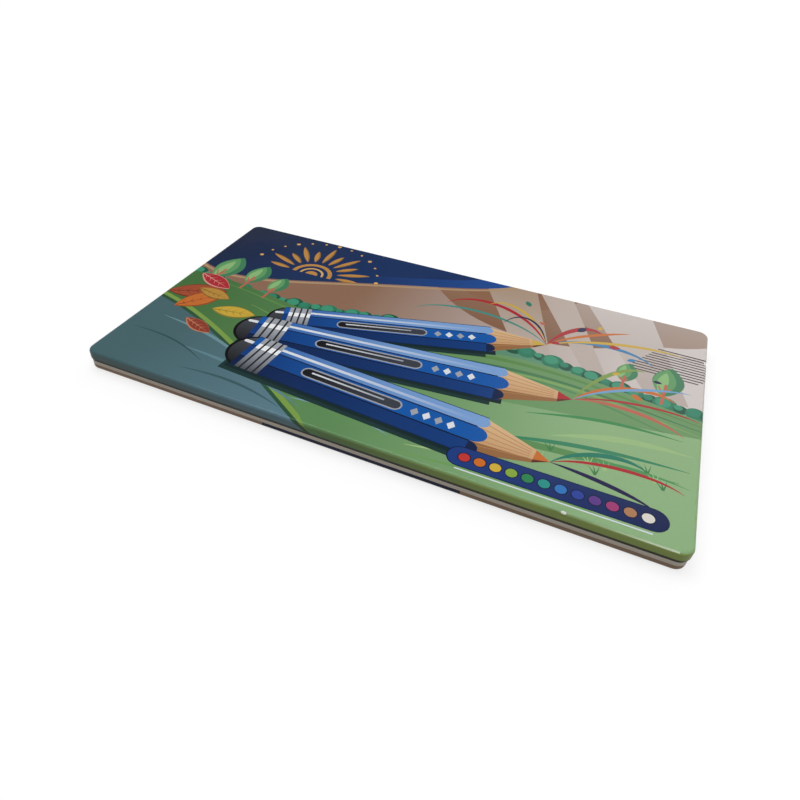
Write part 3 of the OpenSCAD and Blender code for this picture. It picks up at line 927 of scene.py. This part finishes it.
# %% [markdown]
# ## The base
# The base is the other drawn sheet. Its section starts under the floor and goes round the foot, up the
# wall, in over a shoulder on which the lid's edge comes down, and up the neck to a rolled edge that holds
# the tray. The wall is printed in one tan with a dark blue field at the front. From the shoulder up the
# sheet has only its pale coat, with painted shade in a dark line just under the lid's edge, where the gap
# between lid and base lies in shadow, and the underside is bare. A low bead pressed into the floor stiffens
# it, and is pressed into the blank here as well.

# %% Base
ROOT_R = 0.35
PRINT_EDGE_Z = 3.6
BASE_TAN, BASE_COAT, BASE_NAVY = "9e816d", "cdc8be", "0a1440"
BEAD_OFF = (-1.6, -1.3, -0.95, -0.7, 0.7, 0.95, 1.3, 1.6)
BEAD_RISE = (0.0, 0.12, 0.44, 0.5, 0.5, 0.44, 0.12, 0.0)

root_lean = math.degrees(math.acos(ROOT_R / (shoulder_r + ROOT_R)))
root_z = shoulder_z - shoulder_r + math.sqrt((shoulder_r + ROOT_R) ** 2 - ROOT_R**2)
base_section = Section(-foot_inset, 0, 0, -1, [
    ("turn", bottom_r, 90),
    ("line", shoulder_z - shoulder_r - bottom_r),
    ("turn", shoulder_r, root_lean),
    ("turn", ROOT_R, -root_lean),
    ("line", neck_top_z - neck_curl_r - root_z),
    ("turn", neck_curl_r, 300),
])
base_fold = Fold(tin_l, tin_d, corner_r, foot_inset, 0.0, -1, base_section)
foot_arc = bottom_r * math.pi / 2
print_edge = foot_arc + PRINT_EDGE_Z - bottom_r
bead_core = np.array([size / 2 - foot_inset - bead_inset - bead_corner for size in (tin_l, tin_d)])


def bead_depth(uv):
    """How far the bead lifts the floor, by the distance from its middle line."""
    off = np.linalg.norm(uv - np.clip(uv, -bead_core, bead_core), axis=1) - bead_corner
    return np.interp(off, BEAD_OFF, BEAD_RISE)


base_print = Drawing()
base_print.fill(base_fold.loop(base_section.length + 1), BASE_COAT)
shoulder_start = base_section.stops[2]
# Painted shade: a grey line and then a dark band on the pale coat just under the lid's edge, where the gap
# between lid and base lies in shadow.
base_print.fill(ring(base_fold, shoulder_start + 0.75, shoulder_start + 1.0), "928d82")
base_print.fill(ring(base_fold, shoulder_start + 1.0, shoulder_start + 2.4), "4d4b44")
base_print.fill(base_fold.loop(print_edge), BASE_TAN, ("967f6b", (-170, 0), (170, 0)))
front_v = -(base_fold.core[1] + base_fold.inner_r)
base_print.fill(box_points(-48, front_v - print_edge + 0.01, 64, front_v - 0.3), BASE_NAVY)

base_lines = [(base_fold.loop(d), True) for d in base_section.marks()[:-1]]
base_lines += [(rounded_loop(bead_core, bead_corner + off), True) for off in BEAD_OFF]
base_lines += [(outline, True) for outline, _, _ in base_print.shapes[1:]]
uv, faces = triangulate(base_fold.loop(base_section.length), base_lines)
formed = pressed(base_fold.place, uv, bead_depth)
mesh = shell("printed_base", uv, faces, *formed, base_print, base_fold.loop(0.35 * foot_arc))
shown("printed_base", mesh, "tin_base", "base_litho", "base")

# %% [markdown]
# ## The hinge
# From the shoulder a tongue runs out to each hinge and rolls up round the wire, between the two tabs of the
# lid. It is a strip of the same tinplate, so it is folded as the big sheets are, with a section of its own.
# The wire is hard drawn steel, bright and with fine lines along it where it went through the die.

# %% Tongues and wires
tongue_z = hinge_z - knuckle_r
tongue_rise = tongue_z + sheet_t / 2 - (shoulder_z - shoulder_r)
tongue_root = wall_inset + shoulder_r - math.sqrt((shoulder_r - sheet_t / 2) ** 2 - tongue_rise**2)
tongue_l = hinge_y - (tin_d / 2 - tongue_root)
tongue_moves = [("line", tongue_l), ("turn", knuckle_r, knuckle_turn)]
tongue_section = Section(-tongue_root, tongue_z, 0, -1, tongue_moves)

for x, name in ((-hinge_x, "base_knuckle_left"), (hinge_x, "base_knuckle_right")):
    strip = box_points(x - base_knuckle / 2, 0, x + base_knuckle / 2, tongue_section.length)
    uv, faces = triangulate(strip, bend_lines(x, base_knuckle, 0, tongue_section, 15))
    coat = Drawing()
    coat.fill(strip, BASE_COAT)
    mesh = shell(name, uv, faces, *bent(uv[:, 0], tongue_section, uv[:, 1]), coat)
    shown(name, mesh, "tin_base", "base_litho")


def wire_finish(node, place):
    """Hard drawn steel wire: bright, with fine lines along it from the die."""
    squeeze = node("ShaderNodeMapping", {"Vector": place, "Scale": (40.0, 4000.0, 4000.0)})
    lines = node("ShaderNodeTexNoise", {"Vector": squeeze, "Scale": 1.0, "Detail": 2.0})
    tone = node("ShaderNodeMix", {0: lines, 6: rgba("8f9092"), 7: rgba("c3c3c1")}, data_type="RGBA")
    rough = node("ShaderNodeMapRange", {"Value": lines, "To Min": 0.2, "To Max": 0.4})
    return {"Base Color": tone, "Roughness": rough, "Metallic": 1.0}


wire = new_material("drawn_steel_wire", wire_finish)
print("knuckle tongue:", round(tongue_section.length, 2), "mm long")

# %% [markdown]
# ## The hinge wires
# A wire is cut to length and its ends are broken a little, so that they don't scratch. It is a body of
# revolution, and such a body is quickest to write as a turner thinks of it: a list of radii along the axis,
# spun round. The same few lines make the coloured leads further on.

# %% Hinge wires
WIRE_BREAK = 0.12


def lathe(profile, steps, start=0):
    """Points and faces of a profile (radius, distance) that is spun and has its ends on the axis."""
    angles = np.linspace(0, 2 * math.pi, steps, endpoint=False)
    around = np.stack([np.cos(angles), np.sin(angles)], 1)
    rings = [np.column_stack([r * around, np.full(steps, z)]) for r, z in profile[1:-1]]
    points = np.concatenate([[(0, 0, profile[0][1])], *rings, [(0, 0, profile[-1][1])]])
    faces, last = [], start + len(points) - 1
    for k in range(steps):
        n = (k + 1) % steps
        faces.append((start, start + 1 + n, start + 1 + k))
        for low in range(start + 1, last - steps, steps):
            faces.append((low + k, low + n, low + steps + n, low + steps + k))
        faces.append((last - steps + k, last - steps + n, last))
    return points, faces


def smooth_mesh(name, points, faces, material, sharp):
    """A mesh from points in millimetres, smooth but for edges over some degrees."""
    mesh = bpy.data.meshes.new(name)
    mesh.from_pydata((points * MM).tolist(), [], faces)
    mesh.materials.append(material)
    mesh.shade_smooth()
    mesh.set_sharp_from_angle(angle=math.radians(sharp))
    return mesh


for name in ("hinge_pin_left", "hinge_pin_right"):
    low, high = (corner.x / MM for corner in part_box(name))
    end_r, middle = pin_r - WIRE_BREAK, (low + high) / 2
    profile = [(0, low), (end_r, low), (pin_r, low + WIRE_BREAK), (pin_r, middle),
               (pin_r, high - WIRE_BREAK), (end_r, high), (0, high)]
    spun, faces = lathe(profile, 32)
    points = np.stack([spun[:, 2], hinge_y + spun[:, 0], hinge_z + spun[:, 1]], 1)
    mesh = smooth_mesh(name + "_wire", points, faces, wire, 35)
    shown(name + "_wire", mesh, "tin_base", "hinge_wire", name)
print("wires:", round(high - low, 1), "mm long")

# %% [markdown]
# ## The pencils
# A pencil begins as a long hexagonal slat with slightly rounded edges, lacquered all over. Its end is cut
# square and bevelled, a hole holds the lead, and a sharpener turns the other end to a cone. Where the round
# cone meets the flat sides, the lacquer ends in scallops. Nobody has to draw them: the node tree below
# makes the slat and then cuts it with cones, as the sharpener does, and the scallops come out by
# themselves. One tree serves all thirty-six pencils. The cut faces keep the finish of the tool's shape, so
# that bare wood shows exactly where lacquer was cut away.

# %% Pencil sizes
PENCILS = 36
pencil_l = 175.0
pencil_w = 6.9
cone_l = 21.0
tip_r = 0.4
lead_r = 1.65
glue_gap = 0.03
tail_chamfer = 0.4
tail_dip = 0.25
slat_edge_r = 0.45

slat_low, slat_high = (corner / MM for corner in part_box("pencil_01"))
corner_d = slat_high.x - slat_low.x
pencil_z = slat_low.z + pencil_w / 2
last_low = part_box(f"pencil_{PENCILS}")[0] / MM
pitch = (last_low.x - slat_low.x) / (PENCILS - 1)
first_x = slat_low.x + corner_d / 2
wood_tip = pencil_l - cone_l * (lead_r - tip_r) / (corner_d / 2 - tip_r)
print(f"pitch {pitch:.3f} mm, pencil axis at z {pencil_z:.3f}, corner to corner {corner_d:.3f}")

# %% [markdown]
# ## Finishes of the pencils
# Pencil lacquer goes on in many thin coats, which round off the grain but leave long faint ripples and a
# high gloss. The cone is freshly cut cedar: matt, warm, with fine growth rings seen as streaks, and with
# the sharpener's marks round it. The lead is pigment in wax: even, saturated, and a little greasy in its
# shine.

# %% Lacquer, cedar and lead
def lacquer_finish(hex_colour):
    """Nitro lacquer on wood: gloss with long faint ripples and a few duller scuffs."""
    darker, lighter = ((*[min(1.0, c * k) for c in linear(hex_colour)], 1.0) for k in (0.9, 1.06))

    def finish(node, place):
        along = node("ShaderNodeMapping", {"Vector": place, "Scale": (400.0, 20.0, 400.0)})
        ripple = node("ShaderNodeTexNoise", {"Vector": along, "Scale": 1.0, "Detail": 2.0})
        scuff = node("ShaderNodeTexNoise", {"Vector": place, "Scale": 220.0, "Detail": 3.0})
        tone = node("ShaderNodeMix", {0: ripple, 6: darker, 7: lighter}, data_type="RGBA")
        dull = {"Value": scuff, "From Min": 0.45, "From Max": 0.75, "To Min": 0.28, "To Max": 0.5}
        rough = node("ShaderNodeMapRange", dull)
        bump = node("ShaderNodeBump", {"Height": ripple, "Strength": 0.15, "Distance": 0.0002})
        return {"Base Color": tone, "Roughness": rough, "Normal": bump, "IOR": 1.5, "Coat Weight": 0.5,
                "Coat Roughness": 0.08}

    return finish


def cedar_finish(node, place):
    """Sharpened cedar: matt, streaked along the grain, with fine rings left by the blade."""
    along = node("ShaderNodeMapping", {"Vector": place, "Scale": (1400.0, 60.0, 1400.0)})
    streak = node("ShaderNodeTexNoise", {"Vector": along, "Scale": 1.0, "Detail": 4.0})
    batch = node("ShaderNodeMapping", {"Vector": place, "Scale": (110.0, 6.0, 110.0)})
    shade = node("ShaderNodeTexNoise", {"Vector": batch, "Scale": 1.0, "Detail": 1.0})
    hue = node("ShaderNodeMix", {0: streak, 6: rgba("a97b52"), 7: rgba("ddb98e")}, data_type="RGBA")
    warmth = node("ShaderNodeMapRange", {"Value": shade, "To Min": 0.82, "To Max": 1.12})
    tone = node("ShaderNodeVectorMath", {0: hue, "Scale": warmth}, operation="SCALE")
    rings = {"Vector": place, "Scale": 260.0, "Distortion": 3.0}
    blade = node("ShaderNodeTexWave", rings, bands_direction="Y").outputs["Fac"]
    marks = node("ShaderNodeBump", {"Height": blade, "Strength": 0.12, "Distance": 0.0001})
    grain = {"Height": streak, "Strength": 0.3, "Distance": 0.0002, "Normal": marks}
    bump = node("ShaderNodeBump", grain)
    return {"Base Color": tone, "Roughness": 0.7, "Normal": bump, "IOR": 1.5}


def lead_finish(node, place):
    """Pigment bound with wax: even colour, soft shine, tiny pits."""
    pigment = node("ShaderNodeAttribute", attribute_name="ink")
    pits = node("ShaderNodeTexNoise", {"Vector": place, "Scale": 2500.0, "Detail": 2.0})
    shade = node("ShaderNodeMapRange", {"Value": pits, "To Min": 0.88, "To Max": 1.1})
    tone = node("ShaderNodeVectorMath", {0: pigment, "Scale": shade}, operation="SCALE")
    rough = node("ShaderNodeMapRange", {"Value": pits, "To Min": 0.42, "To Max": 0.62})
    bump = node("ShaderNodeBump", {"Height": pits, "Strength": 0.25, "Distance": 0.0001})
    return {"Base Color": tone, "Roughness": rough, "Normal": bump, "IOR": 1.45}


cedar = new_material("cut_cedar", cedar_finish)
lead_wax = new_material("waxy_coloured_lead", lead_finish)
print("finishes:", cedar.name, lead_wax.name)


# %% The pencil tree
BLADE_SIDES, DRILL_SIDES, SOFT_UNDER = 72, 32, math.radians(24)
SIZES = ("Across Flats", "Length", "Edge Radius", "Cone Length", "Tip Radius", "Bore Radius", "Chamfer")


def pencil_tree():
    """Hexagonal slat, bevelled, bored and sharpened, laid along Y at a place that is an input."""
    tree = bpy.data.node_groups.new("sharpened_pencil", "GeometryNodeTree")
    tree.is_modifier = True
    tree.interface.new_socket("Geometry", in_out="OUTPUT", socket_type="NodeSocketGeometry")
    for kind, names in (("Float", SIZES), ("Vector", ("Place",)), ("Material", ("Lacquer", "Wood"))):
        for name in names:
            tree.interface.new_socket(name, in_out="INPUT", socket_type="NodeSocket" + kind)
    node = partial(add_node, tree)
    given = node("NodeGroupInput").outputs
    length, tip, wood = given["Length"], given["Tip Radius"], given["Wood"]

    flats = {0: given["Across Flats"], 1: 2 * math.cos(math.radians(30))}
    corner = node("ShaderNodeMath", flats, operation="DIVIDE")
    hexagon = node("GeometryNodeCurvePrimitiveCircle", {"Resolution": 6, "Radius": corner})
    rounding = {"Curve": hexagon, "Radius": given["Edge Radius"], "Count": 4}
    rounded = node("GeometryNodeFilletCurve", rounding, mode="POLY")
    face = node("GeometryNodeFillCurve", {"Curve": rounded}, mode="NGONS")
    reach = node("ShaderNodeCombineXYZ", {"Z": length})
    pull = {"Mesh": face, "Offset": reach, "Offset Scale": 1.0, "Individual": False}
    sides = node("GeometryNodeExtrudeMesh", pull)
    end = node("GeometryNodeFlipFaces", {"Mesh": face})
    slat = node("GeometryNodeJoinGeometry", {"Geometry": [sides, end]})
    slat = node("GeometryNodeMergeByDistance", {"Geometry": slat, "Distance": 1e-6})
    slat = node("GeometryNodeSetMaterial", {"Geometry": slat, "Material": given["Lacquer"]})

    spread = node("ShaderNodeMath", {0: corner, 1: tip}, operation="SUBTRACT")
    slope = node("ShaderNodeMath", {0: spread, 1: given["Cone Length"]}, operation="DIVIDE")
    wide = node("ShaderNodeMath", {0: slope, 1: length, 2: tip}, operation="MULTIPLY_ADD")
    narrow = node("ShaderNodeMath", {0: corner, 1: given["Chamfer"]}, operation="SUBTRACT")
    open_end = node("ShaderNodeMath", {0: narrow, 1: length}, operation="ADD")
    through = node("ShaderNodeMath", {0: length, 1: 3.0}, operation="MULTIPLY")
    blade = {"Vertices": BLADE_SIDES, "Radius Top": tip, "Radius Bottom": wide, "Depth": length}
    bevel = {"Vertices": BLADE_SIDES, "Radius Top": open_end, "Radius Bottom": narrow, "Depth": length}
    drill = {"Vertices": DRILL_SIDES, "Radius": given["Bore Radius"], "Depth": through}
    tools = []
    for kind, sizes in (("Cone", blade), ("Cone", bevel), ("Cylinder", drill)):
        tool = node("GeometryNodeMesh" + kind, sizes)
        tools.append(node("GeometryNodeSetMaterial", {"Geometry": tool, "Material": wood}))
    cut = {"Mesh 2": [slat, *tools[:2]]}
    cut = node("GeometryNodeMeshBoolean", cut, operation="INTERSECT", solver="EXACT")
    cut = {"Mesh 1": cut, "Mesh 2": tools[2]}
    cut = node("GeometryNodeMeshBoolean", cut, operation="DIFFERENCE", solver="EXACT")

    angle = node("GeometryNodeInputMeshEdgeAngle")
    blunt = {0: angle, 1: SOFT_UNDER}
    blunt = node("FunctionNodeCompare", blunt, data_type="FLOAT", operation="LESS_THAN")
    for domain, smooth in (("FACE", True), ("EDGE", blunt)):
        cut = {"Geometry": cut, "Shade Smooth": smooth}
        cut = node("GeometryNodeSetShadeSmooth", cut, domain=domain)
    laid = {"Geometry": cut, "Translation": given["Place"], "Rotation": (-math.pi / 2, 0, 0)}
    laid = node("GeometryNodeTransform", laid)
    real = node("GeometryNodeRealizeInstances", {"Geometry": laid})
    node("NodeGroupOutput", {0: real})
    return tree


def run_tree(tree, name, values):
    """Evaluates a geometry tree with named inputs and returns a plain mesh."""
    carrier = bpy.data.objects.new(name + "_carrier", bpy.data.meshes.new(name + "_carrier"))
    scene.collection.objects.link(carrier)
    modifier = carrier.modifiers.new("tree", "NODES")
    modifier.node_group = tree
    for item in tree.interface.items_tree:
        if item.in_out == "INPUT":
            modifier[item.identifier] = values[item.name]
    bpy.context.view_layer.update()
    mesh = bpy.data.meshes.new_from_object(carrier.evaluated_get(bpy.context.evaluated_depsgraph_get()))
    mesh.name = name
    bpy.data.objects.remove(carrier)
    return mesh


PIGMENTS = (
    "f1efe8 efe6c8 f0df94 e3c86a f2cf2e eeb422 e8942a df7a26 e0734f d9543a c62f32 a32238 "
    "d63a7a de6a9e e9a3b4 b96bb4 8467b0 6b3a88 3d2f78 22305f 2343a0 2f62bd 3a86cf 7ab7dd "
    "45b3b0 1f7f80 2f7d55 2a6a35 4fa03a 92b83c 76752f b07a4a 8c5030 5f3822 7c7f82 232426"
).split()
casing_tree = pencil_tree()
for number, pigment in enumerate(PIGMENTS):
    tag = f"{number + 1:02d}"
    sizes = (pencil_w, pencil_l, slat_edge_r, cone_l, tip_r, lead_r + glue_gap, tail_chamfer)
    values = {name: size * MM for name, size in zip(SIZES, sizes)}
    values["Place"] = Vector((first_x + number * pitch, -pencil_l / 2, pencil_z)) * MM
    values["Lacquer"] = new_material(f"pencil_lacquer_{tag}", lacquer_finish(pigment))
    values["Wood"] = cedar
    mesh = run_tree(casing_tree, f"pencil_casing_{tag}", values)
    shown(f"pencil_casing_{tag}", mesh, "tin_base", f"lacquer_{tag}", f"pencil_{tag}")
print("faces of one casing:", len(mesh.polygons), "materials:", [m.name for m in mesh.materials])

# %% [markdown]
# ## The leads
# A lead is a plain rod, turned on its axis like a vase: a short profile is spun round, and the sharpener's
# cone goes on from the wood without a step. All leads are one mesh, because the construction keeps them as
# one node. Each takes the pigment of its pencil, a little stronger than the lacquer.

# %% Leads
LEAD_STEPS, LEAD_BREAK = 28, 0.12

lead_profile = [
    (0, tail_dip), (lead_r - LEAD_BREAK, tail_dip), (lead_r, tail_dip + LEAD_BREAK), (lead_r, wood_tip),
    (tip_r + 0.06, pencil_l - 0.3), (tip_r - 0.1, pencil_l - 0.08), (0, pencil_l),
]
lead_points = LEAD_STEPS * (len(lead_profile) - 2) + 2
points, faces, inks = [], [], []
for number, pigment in enumerate(PIGMENTS):
    spun, lead_faces = lathe(lead_profile, LEAD_STEPS, number * lead_points)
    x = first_x + number * pitch
    points.append(np.stack([spun[:, 0] + x, spun[:, 2] - pencil_l / 2, pencil_z - spun[:, 1]], 1))
    faces += lead_faces
    strong = np.clip(np.array(linear(pigment)) * 1.1 - 0.01, 0.006, 1)
    inks.append(np.tile([*strong, 1.0], (len(spun), 1)))
mesh = smooth_mesh("coloured_leads", np.concatenate(points), faces, lead_wax, 35)
attribute = mesh.color_attributes.new("ink", "FLOAT_COLOR", "POINT")
attribute.data.foreach_set("color", np.concatenate(inks).ravel())
shown("coloured_leads", mesh, "tin_base", "lead_wax", "pencil_leads")
print("leads:", len(mesh.polygons), "faces")

# %% [markdown]
# ## The tray
# The tray is one thin sheet of polystyrene, warmed until it sags and sucked down over a mould. It has no
# undercuts, so its upper face is a height over every point of the plan: the lowest of the border, the field
# between the pencils, the grooves and the finger well that crosses them. A soft minimum rounds the edges as
# the sheet does where it bends over the mould. The grid has narrow rows where the height changes fast and
# wide rows elsewhere. Outside the grid the sheet goes on as rings, over the border's edge and down to the
# tin's floor.

# %% Height of the tray
tray_t = 0.4
border_z, rib_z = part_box("pencil_tray")[1].z / MM, 6.14
groove_r, groove_z, groove_end = 4.134, 7.14, 88.5
field_x, field_y, field_corner = 162.0, 89.0, 1.5
well_r, well_y, well_z, well_end = 14.0, -32.0, 15.406, 160.5
WALL_W, EDGE_SOFT = 0.4, 0.45


def sunk(high, low, inward):
    """High outside, low inside, with a soft wall between."""
    t = np.clip(inward / WALL_W, 0, 1)
    return high + (low - high) * t * t * (3 - 2 * t)


def soft_min(a, b):
    near = np.maximum(EDGE_SOFT - np.abs(a - b), 0) / EDGE_SOFT
    return np.minimum(a, b) - near * near * EDGE_SOFT / 4


def trough(across, radius, axis_z):
    """Height of a lying round trough, level with its axis everywhere beside it."""
    inside = np.abs(across) < radius - 0.01
    return np.where(inside, axis_z - np.sqrt(np.maximum(radius**2 - across**2, 0)), axis_z)


def tray_height(x, y):
    out_x = np.abs(x) - (field_x - field_corner)
    out_y = np.abs(y) - (field_y - field_corner)
    rounded = np.hypot(np.maximum(out_x, 0), np.maximum(out_y, 0)) + np.minimum(np.maximum(out_x, out_y), 0)
    nearest = np.clip(np.round(x / pitch - 0.5), -PENCILS / 2, PENCILS / 2 - 1) + 0.5
    groove = sunk(rib_z + 1, trough(x - nearest * pitch, groove_r, groove_z), groove_end - np.abs(y))
    well = sunk(rib_z + 1, trough(y - well_y, well_r, well_z), well_end + WALL_W / 2 - np.abs(x))
    return sunk(border_z, soft_min(soft_min(groove, rib_z), well), field_corner - rounded)


def both_sides(values, middle=0):
    return {round(middle + sign * v, 4) for v in values for sign in (1, -1)}


wall_rows = [0, 0.06, 0.12, 0.2, 0.28, 0.34, 0.4]
groove_rows = [0, 1.1, 2.1, 2.9, 3.5, 3.85, 4.05, 4.25]
well_rows = [0, 2.5, 5, 6.5, 8, 9.3, 10.1, 10.5, 10.9, 11.4]
xs = both_sides(field_x - v for v in wall_rows)
for k in range(PENCILS // 2):
    xs |= both_sides([k * pitch] + [(k + 0.5) * pitch + side * v for v in groove_rows for side in (1, -1)])
ys = both_sides([field_y + 0.5, 87, 72, 52, 28, 8])
ys |= both_sides(end - v for v in wall_rows for end in (field_y, groove_end))
ys = {v for v in ys if abs(v - well_y) > 11.5} | both_sides(well_rows, well_y)
xs, ys = np.array(sorted(xs)), np.array(sorted(ys))
print("grid of the tray:", len(xs), "x", len(ys))

# %% Tray
EDGE_R, FLARE = 0.6, 0.1


def tray_mesh(material):
    grid_x, grid_y = np.meshgrid(xs, ys, indexing="ij")
    points = [np.stack([grid_x, grid_y, tray_height(grid_x, grid_y)], -1).reshape(-1, 3)]
    last = grid_x.size
    index = np.arange(last).reshape(grid_x.shape)
    corners = (index[:-1, :-1], index[1:, :-1], index[1:, 1:], index[:-1, 1:])
    faces = np.stack(corners, -1).reshape(-1, 4).tolist()

    turns = np.radians(np.linspace(0, 90, 6))[1:]
    base, ways = [], []
    for side, angle in ((index[-1, :], 0), (index[::-1, -1], 90), (index[0, ::-1], 180), (index[:, 0], 270)):
        a = math.radians(angle)
        base += [*side] + [side[-1]] * 4
        ways += [(math.cos(a), math.sin(a))] * len(side)
        ways += [(math.cos(a + t), math.sin(a + t)) for t in turns[:-1]]
    base, ways = np.array(base), np.array(ways)
    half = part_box("pencil_tray")[1].x / MM - field_x
    start, below = half - FLARE - EDGE_R, border_z - EDGE_R
    section = [(start + EDGE_R * math.sin(t), below + EDGE_R * math.cos(t)) for t in turns]
    section = [(start, border_z), *section, (half - FLARE / 2, 4.5), (half, sheet_t)]
    count, before = len(base), base
    after = np.roll(np.arange(count), -1)
    for out, z in section:
        points.append(np.column_stack([points[0][base, :2] + ways * out, np.full(count, z)]))
        ring = np.arange(count) + last
        for k in range(count):
            face = [before[k], ring[k], ring[after[k]], before[after[k]]]
            faces.append(face if face[0] != face[3] else face[:3])
        before, last = ring, last + count
    upper = np.concatenate(points)

    outer = bpy.data.meshes.new("tray_upper_face")
    outer.from_pydata(upper.tolist(), [], faces)
    normals = np.zeros(3 * last)
    outer.vertex_normals.foreach_get("vector", normals)
    bpy.data.meshes.remove(outer)
    lower = upper - tray_t * normals.reshape(-1, 3)
    lower[ring, 2] = sheet_t
    faces += [[last + v for v in reversed(face)] for face in faces]
    faces += [[ring[k], ring[k] + last, ring[after[k]] + last, ring[after[k]]] for k in range(count)]
    return smooth_mesh("pencil_tray_sheet", np.concatenate([upper, lower]), faces, material, 50)


def tray_finish(node, place):
    """Thin pale sheet of polystyrene: even gloss, faint orange peel."""
    peel = node("ShaderNodeTexNoise", {"Vector": place, "Scale": 900.0, "Detail": 2.0})
    cloud = node("ShaderNodeTexNoise", {"Vector": place, "Scale": 25.0, "Detail": 3.0})
    tone = node("ShaderNodeMix", {0: cloud, 6: rgba("c9cbcb"), 7: rgba("dcdddb")}, data_type="RGBA")
    rough = node("ShaderNodeMapRange", {"Value": cloud, "To Min": 0.3, "To Max": 0.42})
    bump = node("ShaderNodeBump", {"Height": peel, "Strength": 0.12, "Distance": 0.0001})
    return {"Base Color": tone, "Roughness": rough, "Normal": bump, "IOR": 1.55}


mesh = tray_mesh(new_material("thermoformed_polystyrene", tray_finish))
shown("pencil_tray_sheet", mesh, "tin_base", "tray_plastic", "pencil_tray")
print("tray:", len(mesh.polygons), "faces")
